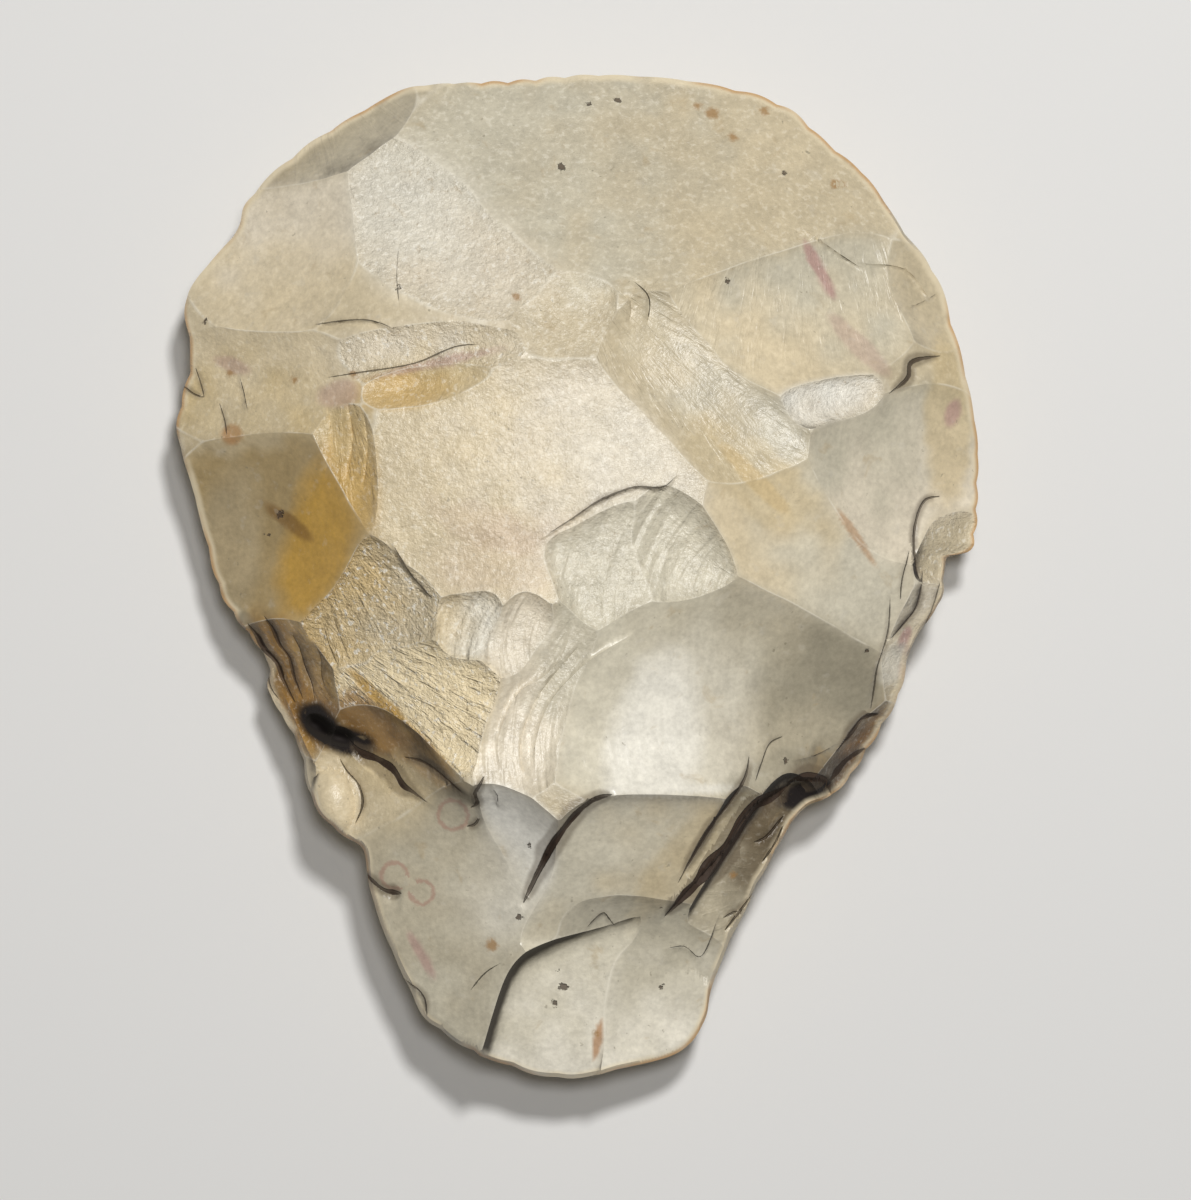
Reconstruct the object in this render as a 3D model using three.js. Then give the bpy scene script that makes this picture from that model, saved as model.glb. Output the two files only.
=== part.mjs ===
import * as THREE from "three";

// A hand axe: one pear-shaped stone, flaked on both faces to a sharp margin.
// Millimetres. +Y runs from the blunt tang to the round blade, +Z out of the worked face.

// Driving sizes, mm
const LENGTH = 120;
const WIDTH = 95.8;
const FACE_RISE = 20.9;       // worked face of the unflaked blank above the edge plane
const BACK_RISE = 14.6;       // hidden face of the blank below the edge plane
const EDGE_BLUNTNESS = 1.8;   // half thickness of the blank at its margin
const REST_DEPTH = 12.4;      // depth of the flat facet that the stone lies on
const SCAR_UNIT = 1.193;      // depth of a scar of depth 1 in the lists below
const EDGE_SLOPE = 2.0;       // rise over run of the last bevel down to the edge
const EDGE_LEVEL = 0.88;      // height of the edge line as a share from the hidden to the worked face
const THINNEST = 1.6;         // least thickness left between the two faces
const SCALLOP_DEPTH = 0.35;   // bite of the small retouch chips along the edge
const KNOB_TOP = 6.4;         // round knob beside the tang, above the edge plane
const KNOB_DROP = 3.4;        // how far the knob falls away over its half width

// Plan drawing grid: 80.3 squares across and 100.6 squares along
const GRID_WIDE = 80.3;
const GRID_LONG = 100.6;
const SX = WIDTH / GRID_WIDE;
const SY = LENGTH / GRID_LONG;

const FACE_FALL = 2.2;        // larger keeps the blank flatter in the middle
const BACK_FALL = 2.4;
const FACE_TANG_FULLNESS = 2.2; // how much blunter the blank stays towards the tang
const BACK_TANG_FULLNESS = 0.8;
const TANG_OVERSIZE = 0.12;   // share by which the blank overhangs the tang before flaking
const BLANK_WAVES = 5;        // how closely the blank follows the outline
const CELLS = 56;             // facets across the worked face, half as many behind
const SNAP = 0.85;            // squares a corner may move to sit on a ridge
const LEAST_CORNER = 0.35;    // square area that every cell corner keeps after the move
const SCALLOPS = 74;

const CENTRE = [39.7, 55.8];

// Outline in squares, clockwise from the top
const OUTLINE = [
  [42.2, 100.5], [52.6, 99.7], [60.4, 97.6], [65.0, 93.6], [69.0, 90.0], [72.6, 84.6], [76.0, 80.2],
  [78.1, 73.3], [79.9, 64.8], [80.1, 59.8], [79.6, 53.2], [76.9, 51.8], [76.3, 47.8], [73.4, 43.3],
  [72.2, 38.3], [69.5, 33.3], [66.2, 28.8], [62.2, 26.6], [59.0, 21.3], [56.3, 15.8], [53.5, 9.3],
  [52.7, 5.6], [50.3, 2.5], [44.2, 0.9], [38.4, -0.1], [31.9, 1.6], [25.2, 5.6], [22.9, 9.6],
  [20.5, 15.1], [19.2, 19.3], [18.5, 23.0], [15.7, 24.9], [13.2, 28.3], [12.0, 33.3], [9.0, 38.6],
  [8.8, 41.8], [4.4, 48.0], [2.7, 53.8], [1.2, 59.8], [-0.2, 65.3], [1.2, 72.0], [0.6, 77.0],
  [1.8, 80.0], [5.8, 84.8], [7.0, 88.1], [12.2, 93.1], [19.7, 97.6], [23.6, 99.2], [32.2, 99.8],
];

// One flake scar: a shallow bowl at x, y, turned by degrees, with a reach forward, back,
// left and right of its centre, and a depth. The rim power squares its corners, the wall power
// steepens its walls, and the lean slants its front wall to its sides
function scar(name, x, y, turn, fore, aft, left, right, deep, rim = 2, wall = 1, lean = 0) {
  const angle = (turn * Math.PI) / 180;
  const way = { cos: Math.cos(angle), sin: Math.sin(angle) };
  return { name, x, y, ...way, fore, aft, left, right, deep, rim, wall, lean };
}

// A scar that cuts across the blank on a floor of its own: level at its centre as a share of
// the worked face's rise, and its rise per mm to the right and towards the blade
function facet(share, riseX, riseY, ...bowl) {
  return { ...scar(...bowl), level: share * FACE_RISE, riseX, riseY };
}

const FACE_SCARS = [
  scar("top", 46.0, 91.0, 0, 30, 25, 14, 13.2, 2.8),
  scar("top_left_bevel", 15.0, 94.0, 30, 10, 12, 6, 4.4, 2.4),
  scar("upper_left_rough", 27.5, 85.3, -28, 13.5, 12, 8, 9, 1.8),
  scar("upper_left_smooth", 9.5, 82.0, 60, 12, 9, 9, 8.5, 2.0),
  scar("hump", 40.0, 77.6, 0, 4, 6.5, 4.6, 6.4, 0.6, 4),
  scar("rough_band", 24.0, 71.8, 5, 12, 12, 3, 3.4, 1.1),
  scar("ochre_hollow", 24.5, 69.0, 8, 8, 6.5, 2.6, 2.8, 1.7),
  scar("plateau", 36.5, 60.0, 0, 17, 17, 11.5, 14.5, 1.2, 4),
  scar("right_mid", 52.0, 68.5, -44, 13, 11, 5.8, 6.8, 2.5, 3),
  scar("right_upper", 62.0, 76.0, 20, 12, 16, 7.6, 8, 2.4, 3),
  scar("right_edge_upper", 73.5, 78.0, -50, 6.5, 6.5, 4.5, 3.4, 1.6),
  scar("right_shelf", 64.3, 67.6, 8, 6, 5.5, 2.4, 2.8, 1.7, 3),
  scar("right_facet", 70.5, 60.0, 20, 12, 7.6, 7.8, 9, 2.3, 3),
  scar("right_low", 61.5, 52.5, -42, 14, 12, 9, 7.0, 2.2),
  scar("white_triangle", 59.0, 46.8, -25, 7, 5.5, 2.6, 2.6, 1.2),
  scar("sheen_left", 41.5, 51.5, 117, 4.9, 8, 5.0, 9, 2.3, 4),
  scar("sheen_right", 50.0, 53.2, 128, 7.4, 7.4, 7.6, 4.4, 2.9, 2.6),
  scar("ripple_right", 35.2, 44.4, 138, 4.0, 4.4, 5.2, 4.0, 1.9, 4),
  scar("ripple_left", 29.2, 45.6, 100, 3.2, 4.0, 3.2, 4.0, 1.7, 4),
  scar("groove", 37.0, 39.5, 60, 10, 12, 4.6, 6, 2.3, 3),
  scar("big_bowl", 52.7, 37.4, 8, 18.6, 18, 13.6, 10.6, 4.6),
  scar("hackle_low", 25.0, 38.5, 70, 5.4, 7, 10, 8.4, 1.8, 4),
  scar("hackle_high", 21.0, 47.5, 50, 5.0, 9, 6.5, 6.0, 1.7, 4),
  scar("left_bowl", 8.8, 54.5, 60, 11, 9.4, 11, 11, 3.4),
  scar("left_top", 6.5, 69.5, 0, 13.5, 9, 5.8, 6.4, 1.8),
  scar("left_folds", 17.4, 62.6, -80, 9, 5.5, 3, 3.4, 1.5),
  scar("crinkles", 11.6, 40.6, -62, 10, 7.6, 4.4, 4.6, 2.2),
  scar("notch", 15.6, 34.5, -26, 3.8, 3.6, 2.0, 1.9, 4.4, 2.4),
  facet(0.30, 0.50, -0.05, "ledge_foot", 19.5, 29.0, 43, 7.2, 16, 9.6, 20, 5.0, 2.6),
  facet(0.32, 0.32, 0.20, "tang_left", 24.0, 18.0, 60, 12.0, 22, 22, 15, 4.0, 6),
  facet(0.505, 0.26, 0.30, "tang_triangle", 31.0, 21.5, 50, 8.4, 12, 6.6, 11, 5.0, 3),
  facet(0.55, -0.20, 0.58, "tang_middle", 46.5, 21.4, 60, 9.6, 10.6, 10.2, 11.5, 4.5, 5, 2.2, 0.577),
  facet(0.474, -0.30, 0.40, "flank_strip", 54.3, 24.9, 57, 6.2, 8, 1.6, 4, 2.5, 4),
  facet(0.155, -0.05, 0.12, "tang_low", 39.6, 7.2, 73, 9.3, 20, 7.6, 2.4, 4.5, 6, 2.2, 0.70),
  facet(0.05, -0.22, 0.14, "tang_low_right", 50.5, 8.0, 80, 9.6, 12, 14, 8, 4.0, 2.4),
  facet(0.124, -0.4, 0.25, "right_flank", 58.0, 20.6, 57, 11, 18, 4.3, 8, 5.4, 5, 2.4),
  scar("right_notch", 76.6, 53.6, 80, 4.6, 4.6, 3, 3.5, 1.8, 4),
  scar("margin_high", 73.4, 44.0, 69, 7, 7, 2.8, 4, 1.1, 2),
  scar("margin_low", 67.6, 32.0, 54, 7, 7, 3, 3, 1.8, 2),
];

// The hidden face, plainer: broad thinning scars in from the margin all round
const BACK_SCARS = [
  scar("back_tip", 38.0, 9.0, 90, 15, 14, 12, 12, 1.8),
  scar("back_tang_left", 24.0, 25.0, 50, 15, 13, 12, 10, 2.8),
  scar("back_tang_right", 55.0, 27.0, 120, 15, 13, 10, 12, 2.9),
  scar("back_low_left", 13.0, 43.0, 20, 15, 12, 10, 9, 2.6),
  scar("back_left", 8.0, 58.0, 5, 17, 11, 9, 9, 2.9),
  scar("back_left_high", 9.0, 76.0, -25, 17, 12, 10, 10, 2.7),
  scar("back_top_left", 24.0, 93.0, -75, 15, 12, 12, 12, 3.0),
  scar("back_top", 44.0, 95.0, -95, 17, 12, 11, 11, 2.8),
  scar("back_top_right", 62.0, 88.0, -130, 16, 12, 11, 11, 2.9),
  scar("back_right_high", 72.0, 72.0, 185, 17, 11, 9, 9, 2.7),
  scar("back_right", 72.0, 56.0, 175, 16, 11, 9, 8, 2.8),
  scar("back_low_right", 66.0, 41.0, 155, 16, 12, 9, 9, 2.9),
  scar("back_inner_low", 40.0, 33.0, 90, 11, 11, 9, 9, 1.6),
  scar("back_inner_high", 46.0, 77.0, 20, 11, 11, 8, 8, 1.5),
];

const KNOB = { x: 15.9, y: 27.8, turn: -76, long: 3.6, wide: 2.5 };

// Smooth closed curve through the outline corners, several steps to each span
function smoothOutline(corners, steps) {
  const curve = [];
  const count = corners.length;
  for (let i = 0; i < count; i += 1) {
    const before = corners[(i + count - 1) % count];
    const from = corners[i];
    const to = corners[(i + 1) % count];
    const after = corners[(i + 2) % count];
    for (let k = 0; k < steps; k += 1) {
      const t = k / steps;
      curve.push([0, 1].map((axis) => {
        const linear = (to[axis] - before[axis]) * t;
        const square = (2 * before[axis] - 5 * from[axis] + 4 * to[axis] - after[axis]) * t * t;
        const cube = (3 * from[axis] - before[axis] - 3 * to[axis] + after[axis]) * t ** 3;
        return from[axis] + 0.5 * (linear + square + cube);
      }));
    }
  }
  return curve;
}

const CURVE = smoothOutline(OUTLINE, 8);

// Reach of the outline from the centre, sorted by angle
const RIM = CURVE
  .map(([x, y]) => [Math.atan2(y - CENTRE[1], x - CENTRE[0]), Math.hypot(x - CENTRE[0], y - CENTRE[1])])
  .sort((a, b) => a[0] - b[0]);

function reachBetweenCorners(angle) {
  let high = RIM.findIndex(([a]) => a >= angle);
  if (high < 0) high = 0;
  const low = (high + RIM.length - 1) % RIM.length;
  let start = RIM[low][0];
  let end = RIM[high][0];
  if (start > end) {
    if (angle > start) end += 2 * Math.PI;
    else start -= 2 * Math.PI;
  }
  const share = end > start ? (angle - start) / (end - start) : 0;
  return RIM[low][1] + share * (RIM[high][1] - RIM[low][1]);
}

// The same reach at even steps of angle, and read off between them
const TURNS = 2880;
const REACH = [];
for (let i = 0; i < TURNS; i += 1) REACH.push(reachBetweenCorners(-Math.PI + (2 * Math.PI * i) / TURNS));

function reach(angle) {
  const place = ((angle + Math.PI) / (2 * Math.PI)) * TURNS;
  const low = Math.floor(place);
  const from = REACH[(low + TURNS) % TURNS];
  const to = REACH[(low + 1 + TURNS) % TURNS];
  return from + (place - low) * (to - from);
}

// The reach with its small chips: a chain of shallow bites of uneven width
function chippedReach(angle) {
  const wander = 2.1 * Math.sin(3 * angle + 1) + 1.4 * Math.sin(7 * angle);
  const bite = Math.abs(Math.sin((SCALLOPS * angle) / 2 + wander));
  const uneven = 0.6 + 0.4 * Math.sin(11 * angle + 2);
  return reach(angle) - (SCALLOP_DEPTH / SY) * (1 - bite) * uneven;
}

// The first waves of the reach give the smoother outline of the blank
const WAVES = [];
for (let k = 0; k <= BLANK_WAVES; k += 1) {
  let cosine = 0;
  let sine = 0;
  const samples = 720;
  for (let i = 0; i < samples; i += 1) {
    const angle = -Math.PI + (2 * Math.PI * i) / samples;
    cosine += reach(angle) * Math.cos(k * angle);
    sine += reach(angle) * Math.sin(k * angle);
  }
  const share = (k === 0 ? 1 : 2) / samples;
  WAVES.push([cosine * share, sine * share]);
}

function blankReach(angle) {
  return WAVES.reduce((sum, [c, s], k) => sum + c * Math.cos(k * angle) + s * Math.sin(k * angle), 0);
}

// Height of the unflaked blank over the edge plane, mm
function blank(x, y, rise, fall, tangFullness) {
  const dx = x - CENTRE[0];
  const dy = y - CENTRE[1];
  const angle = Math.atan2(dy, dx);
  const tangward = Math.max(0, -Math.sin(angle)) ** 3;
  const out = Math.hypot(dx, dy) / (blankReach(angle) * (1 + TANG_OVERSIZE * tangward));
  const power = fall + tangFullness * tangward;
  return EDGE_BLUNTNESS + (rise - EDGE_BLUNTNESS) * (1 - out ** power);
}

// Height of one scar's own surface, carried on past its rim
function scarHeight(s, base, x, y) {
  const dx = x - s.x;
  const dy = y - s.y;
  const across = dy * s.cos - dx * s.sin;
  const along = dx * s.cos + dy * s.sin + s.lean * across;
  const alongShare = Math.abs(along) / (along > 0 ? s.fore : s.aft);
  const acrossShare = Math.abs(across) / (across > 0 ? s.left : s.right);
  const bowl = (alongShare ** s.rim + acrossShare ** s.rim) ** s.wall;
  if (s.level === undefined) return base + s.deep * SCAR_UNIT * (bowl - 1);
  return s.level + s.riseX * dx * SX + s.riseY * dy * SY + s.deep * SCAR_UNIT * bowl;
}

// The lowest of the surfaces that could bound the stone at x, y: the blank and its scars
function lowest(base, ceiling, scars, x, y) {
  let height = Math.min(base, ceiling);
  let which = base < ceiling ? "blank" : "rest";
  for (const s of scars) {
    const own = scarHeight(s, base, x, y);
    if (own < height) {
      height = own;
      which = s.name;
    }
  }
  return { height, which };
}

function faceSheet(x, y) {
  return lowest(blank(x, y, FACE_RISE, FACE_FALL, FACE_TANG_FULLNESS), Infinity, FACE_SCARS, x, y);
}

function backSheet(x, y) {
  return lowest(blank(x, y, BACK_RISE, BACK_FALL, BACK_TANG_FULLNESS), REST_DEPTH, BACK_SCARS, x, y);
}

function knobHeight(x, y) {
  const angle = (KNOB.turn * Math.PI) / 180;
  const dx = x - KNOB.x;
  const dy = y - KNOB.y;
  const along = (dx * Math.cos(angle) + dy * Math.sin(angle)) / KNOB.long;
  const across = (dy * Math.cos(angle) - dx * Math.sin(angle)) / KNOB.wide;
  return KNOB_TOP - KNOB_DROP * (along ** 2 + across ** 2);
}

// Distance in from the edge, mm, measured along the line to the centre
function inset(x, y) {
  const dx = x - CENTRE[0];
  const dy = y - CENTRE[1];
  const angle = Math.atan2(dy, dx);
  const step = 0.02;
  const slant = (reach(angle + step) - reach(angle - step)) / (2 * step * reach(angle));
  const gap = chippedReach(angle) - Math.hypot(dx, dy);
  return Math.max(0, (gap * SY) / Math.hypot(1, slant));
}

// Both faces at x, y: they draw together to one line at the edge
function faces(x, y) {
  const top = Math.max(faceSheet(x, y).height, knobHeight(x, y));
  const bottom = Math.min(-backSheet(x, y).height, top - THINNEST);
  const edge = bottom + EDGE_LEVEL * (top - bottom);
  const bevel = EDGE_SLOPE * inset(x, y);
  return { top: Math.min(top, edge + bevel), bottom: Math.max(bottom, edge - bevel), edge };
}

// Round grid: a square of cells pushed out to the outline, smooth inside and chipped at the rim
function plan(i, j, cells) {
  const a = (2 * i) / cells - 1;
  const b = (2 * j) / cells - 1;
  if (a === 0 && b === 0) return [CENTRE[0], CENTRE[1]];
  const wide = Math.abs(a) > Math.abs(b);
  const share = Math.max(Math.abs(a), Math.abs(b));
  let angle = wide ? (Math.PI / 4) * (b / a) : Math.PI / 2 - (Math.PI / 4) * (a / b);
  if (wide ? a < 0 : b < 0) angle += Math.PI;
  if (angle > Math.PI) angle -= 2 * Math.PI;
  const smooth = blankReach(angle);
  const out = share * (smooth + (chippedReach(angle) - smooth) * share ** 6);
  return [CENTRE[0] + out * Math.cos(angle), CENTRE[1] + out * Math.sin(angle)];
}

// Move a corner to the nearest ridge between two scars, if one passes close by
function ontoRidge([x, y], sheet) {
  const own = sheet(x, y).which;
  let nearest = SNAP;
  let point = [x, y];
  for (let k = 0; k < 16; k += 1) {
    const angle = (Math.PI * k) / 8;
    const at = (far) => [x + far * Math.cos(angle), y + far * Math.sin(angle)];
    if (sheet(...at(nearest)).which === own) continue;
    let near = 0;
    let far = nearest;
    for (let pass = 0; pass < 7; pass += 1) {
      const middle = (near + far) / 2;
      if (sheet(...at(middle)).which === own) near = middle;
      else far = middle;
    }
    nearest = far;
    point = at(far);
  }
  return point;
}

// A grid of plan corners with each inner corner moved onto its ridge, unless a cell would fold
function ridgedGrid(cells, step, sheet) {
  const count = cells / step;
  const still = [];
  for (let i = 0; i <= count; i += 1) {
    still.push([]);
    for (let j = 0; j <= count; j += 1) still[i].push(plan(i * step, j * step, cells));
  }
  const moved = still.map((row) => row.map((point) => point.slice()));
  for (let i = 1; i < count; i += 1) {
    for (let j = 1; j < count; j += 1) moved[i][j] = ontoRidge(still[i][j], sheet);
  }
  for (let pass = 0; pass < 6; pass += 1) {
    for (let i = 1; i < count; i += 1) {
      for (let j = 1; j < count; j += 1) {
        if (leastTurn(moved, i, j) > LEAST_CORNER * step * step) continue;
        moved[i][j] = moved[i][j].map((value, axis) => (value + still[i][j][axis]) / 2);
      }
    }
  }
  return moved;
}

// Smallest of the four corner areas round a grid point, negative when a cell has folded over
function leastTurn(grid, i, j) {
  const ring = [[1, 0], [0, 1], [-1, 0], [0, -1]];
  let least = Infinity;
  for (let k = 0; k < 4; k += 1) {
    const here = grid[i][j];
    const a = grid[i + ring[k][0]][j + ring[k][1]];
    const b = grid[i + ring[(k + 1) % 4][0]][j + ring[(k + 1) % 4][1]];
    least = Math.min(least, (a[0] - here[0]) * (b[1] - here[1]) - (a[1] - here[1]) * (b[0] - here[0]));
  }
  return least;
}

const positions = [];
const triangles = [];

function addCorner([x, y], height) {
  positions.push(x * SX, y * SY, height);
  return positions.length / 3 - 1;
}

// Worked face
const faceGrid = ridgedGrid(CELLS, 1, faceSheet);
const faceIndex = faceGrid.map((row, i) => row.map((point, j) => {
  const onEdge = i === 0 || j === 0 || i === CELLS || j === CELLS;
  const { top, edge } = faces(point[0], point[1]);
  return addCorner(point, onEdge ? edge : top);
}));

function corner(index) {
  return positions.slice(3 * index, 3 * index + 3);
}

// How far the middle of a diagonal stands off the true surface
function miss(from, to, side) {
  const a = corner(from);
  const b = corner(to);
  const height = faces((a[0] + b[0]) / 2 / SX, (a[1] + b[1]) / 2 / SY)[side];
  return Math.abs(height - (a[2] + b[2]) / 2);
}

function addQuad(ring, side, firstDiagonal) {
  const [a, b, c, d] = ring;
  const first = firstDiagonal ?? miss(a, c, side) <= miss(b, d, side);
  if (first) triangles.push([a, b, c], [a, c, d]);
  else triangles.push([a, b, d], [b, c, d]);
}

for (let i = 0; i < CELLS; i += 1) {
  for (let j = 0; j < CELLS; j += 1) {
    const ring = [faceIndex[i][j], faceIndex[i + 1][j], faceIndex[i + 1][j + 1], faceIndex[i][j + 1]];
    const cornerCell = (i === 0 || i === CELLS - 1) && (j === 0 || j === CELLS - 1);
    addQuad(ring, "top", cornerCell ? (i === 0) === (j === 0) : undefined);
  }
}

// Hidden face, on a grid of half as many cells that shares the edge corners
const HALF = CELLS / 2;
const backGrid = ridgedGrid(CELLS, 2, backSheet);
const backIndex = backGrid.map((row, i) => row.map((point, j) => {
  const onEdge = i === 0 || j === 0 || i === HALF || j === HALF;
  if (onEdge) return faceIndex[2 * i][2 * j];
  return addCorner(point, faces(point[0], point[1]).bottom);
}));

for (let i = 0; i < HALF; i += 1) {
  for (let j = 0; j < HALF; j += 1) {
    const cell = [[i, j], [i, j + 1], [i + 1, j + 1], [i + 1, j]];
    const inside = cell.findIndex(([p, q]) => p > 0 && q > 0 && p < HALF && q < HALF);
    const touches = cell.some(([p, q]) => p === 0 || q === 0 || p === HALF || q === HALF);
    if (!touches) {
      addQuad(cell.map(([p, q]) => backIndex[p][q]), "bottom");
      continue;
    }
    // Edge cell: fan out from an inner corner, taking in the finer corners of the edge
    const ring = [];
    for (let k = 0; k < 4; k += 1) {
      const [p, q] = cell[(inside + k) % 4];
      const [r, s] = cell[(inside + k + 1) % 4];
      ring.push(backIndex[p][q]);
      const alongEdge = (p === r && (p === 0 || p === HALF)) || (q === s && (q === 0 || q === HALF));
      if (alongEdge) ring.push(faceIndex[p + r][q + s]);
    }
    for (let k = 1; k < ring.length - 1; k += 1) triangles.push([ring[0], ring[k], ring[k + 1]]);
  }
}

// Stand the stone on its flat facet, centred on its own length and width
const box = new THREE.Box3().setFromArray(positions);
for (let i = 0; i < positions.length; i += 3) {
  positions[i] -= (box.min.x + box.max.x) / 2;
  positions[i + 1] -= (box.min.y + box.max.y) / 2;
  positions[i + 2] -= box.min.z;
}

const geometry = new THREE.BufferGeometry();
geometry.setAttribute("position", new THREE.Float32BufferAttribute(positions, 3));
geometry.setIndex(triangles.flat());
geometry.computeVertexNormals();

const paleChert = new THREE.MeshStandardMaterial({ color: 0xcdc0a4, roughness: 0.55, metalness: 0 });
paleChert.name = "pale_chert";

const stone = new THREE.Mesh(geometry, paleChert);
stone.name = "flaked_stone";

const handAxe = new THREE.Group();
handAxe.name = "stone_hand_axe";
handAxe.add(stone);

export default handAxe;
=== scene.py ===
import math
from collections import namedtuple

import bpy
import numpy as np
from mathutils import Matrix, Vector


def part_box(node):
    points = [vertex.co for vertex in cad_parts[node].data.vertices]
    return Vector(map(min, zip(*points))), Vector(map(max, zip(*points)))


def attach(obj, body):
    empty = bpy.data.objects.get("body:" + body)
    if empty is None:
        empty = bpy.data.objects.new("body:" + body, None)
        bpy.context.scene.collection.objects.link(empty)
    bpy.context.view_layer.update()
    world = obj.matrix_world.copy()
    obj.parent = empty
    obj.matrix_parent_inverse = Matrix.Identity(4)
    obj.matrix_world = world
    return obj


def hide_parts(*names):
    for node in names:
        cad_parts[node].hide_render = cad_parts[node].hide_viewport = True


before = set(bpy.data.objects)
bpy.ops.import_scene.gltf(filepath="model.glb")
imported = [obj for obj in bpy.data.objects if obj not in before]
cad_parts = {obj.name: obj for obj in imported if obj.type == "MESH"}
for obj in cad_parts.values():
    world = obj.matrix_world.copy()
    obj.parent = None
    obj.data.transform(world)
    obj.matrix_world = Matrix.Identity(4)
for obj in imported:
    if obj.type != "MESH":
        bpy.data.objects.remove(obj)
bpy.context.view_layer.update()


# The stone. One pear-shaped piece of chert, struck from both faces: every facet is the
# shallow bowl that one flake left, and neighbouring bowls meet in sharp ridges.
# The plan is drawn in squares, 80.3 across and 100.6 along, and heights are in mm.
GRID_WIDE = 80.3
GRID_LONG = 100.6
stone_low, stone_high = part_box("flaked_stone")
SQUARE_X = 1000 * (stone_high[0] - stone_low[0]) / GRID_WIDE
SQUARE_Y = 1000 * (stone_high[1] - stone_low[1]) / GRID_LONG
SQUARE = np.array([SQUARE_X, SQUARE_Y])
CENTRE = (39.7, 55.8)
# Rise of each face's dome, its rise at the rim, the depth of the flat that the stone rests
# on, and the mm in one unit of a scar's depth
FACE_RISE = 20.9
BACK_RISE = 14.6
EDGE_BLUNTNESS = 1.8
REST_DEPTH = 12.4
HEIGHT_UNIT = 1.193
# The edge: rise of its bevels to a mm inwards, its share of the way from back to face, and
# the least thickness
EDGE_SLOPE = 2.0
EDGE_LEVEL = 0.88
THINNEST = 1.6
# Shallow bites along the outline
SCALLOP_DEPTH = 0.35
SCALLOPS = 74
# The domes' powers, how much blunter and wider they are at the tang, and their outline's waves
FACE_FALL = 2.2
BACK_FALL = 2.4
FACE_TANG_FULLNESS = 2.2
BACK_TANG_FULLNESS = 0.8
TANG_OVERSIZE = 0.12
BLANK_WAVES = 5

OUTLINE = np.array([
    (42.2, 100.5), (52.6, 99.7), (60.4, 97.6), (65.0, 93.6), (69.0, 90.0), (72.6, 84.6), (76.0, 80.2),
    (78.1, 73.3), (79.9, 64.8), (80.1, 59.8), (79.6, 53.2), (76.9, 51.8), (76.3, 47.8), (73.4, 43.3),
    (72.2, 38.3), (69.5, 33.3), (66.2, 28.8), (62.2, 26.6), (59.0, 21.3), (56.3, 15.8), (53.5, 9.3),
    (52.7, 5.6), (50.3, 2.5), (44.2, 0.9), (38.4, -0.1), (31.9, 1.6), (25.2, 5.6), (22.9, 9.6),
    (20.5, 15.1), (19.2, 19.3), (18.5, 23.0), (15.7, 24.9), (13.2, 28.3), (12.0, 33.3), (9.0, 38.6),
    (8.8, 41.8), (4.4, 48.0), (2.7, 53.8), (1.2, 59.8), (-0.2, 65.3), (1.2, 72.0), (0.6, 77.0),
    (1.8, 80.0), (5.8, 84.8), (7.0, 88.1), (12.2, 93.1), (19.7, 97.6), (23.6, 99.2), (32.2, 99.8),
])


def cubic_spans(before, start, end, after, steps):
    """One cubic from each start to its end, whose ends lean along the neighbours before and after."""
    before, start, end, after = before[:, None], start[:, None], end[:, None], after[:, None]
    t = (np.arange(steps) / steps)[None, :, None]
    linear = (end - before) * t
    square = (2 * before - 5 * start + 4 * end - after) * t ** 2
    cube = (3 * start - before - 3 * end + after) * t ** 3
    return (start + 0.5 * (linear + square + cube)).reshape(-1, 2)


SPAN_STEPS = 8
before_it, next_one, one_on = (np.roll(OUTLINE, places, 0) for places in (1, -1, -2))
curve = cubic_spans(before_it, OUTLINE, next_one, one_on, SPAN_STEPS) - CENTRE
curve_angle = np.arctan2(curve[:, 1], curve[:, 0])
by_angle = np.argsort(curve_angle)
curve_angle = curve_angle[by_angle]
curve_reach = np.hypot(curve[:, 0], curve[:, 1])[by_angle]


def reach(angle):
    """Distance from the centre to the outline at an angle, read along the curve."""
    return np.interp(angle, curve_angle, curve_reach, period=2 * math.pi)


def chipped_reach(angle):
    """The reach less a chain of shallow bites: one minus a sine's height, with uneven widths."""
    wander = 2.1 * np.sin(3 * angle + 1) + 1.4 * np.sin(7 * angle)
    bite = np.abs(np.sin(SCALLOPS * angle / 2 + wander))
    uneven = 0.6 + 0.4 * np.sin(11 * angle + 2)
    return reach(angle) - SCALLOP_DEPTH / SQUARE_Y * (1 - bite) * uneven


turn = np.linspace(-math.pi, math.pi, 720, endpoint=False)
waves = [(np.mean(reach(turn) * np.cos(k * turn)) * (1 if k == 0 else 2),
          np.mean(reach(turn) * np.sin(k * turn)) * 2) for k in range(BLANK_WAVES + 1)]


def blank_reach(angle):
    """The first waves of the reach: the smoother outline of the unflaked blank."""
    return sum(c * np.cos(k * angle) + s * np.sin(k * angle) for k, (c, s) in enumerate(waves))


def blank_height(x, y, rise, fall, tang_fullness):
    """A dome: rise times one minus a power of the share of the reach, blunter to the tang."""
    dx, dy = x - CENTRE[0], y - CENTRE[1]
    angle = np.arctan2(dy, dx)
    tangward = np.maximum(0, -np.sin(angle)) ** 3
    out = np.hypot(dx, dy) / (blank_reach(angle) * (1 + TANG_OVERSIZE * tangward))
    return EDGE_BLUNTNESS + (rise - EDGE_BLUNTNESS) * (1 - out ** (fall + tang_fullness * tangward))


# A scar: plan centre, turn in degrees, reach forward, back, left and right, and depth. The
# rim power squares its corners and makes the floor flatter, the wall power steepens its
# walls, and the lean slants its front wall to its sides. A facet also has a floor of its own:
# its level at the centre as a share of the face's rise, and its rise per mm to the right and
# towards the blade.
Scar = namedtuple(
    "Scar", "name x y turn fore aft left right deep rim wall lean level rise_x rise_y")


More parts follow.
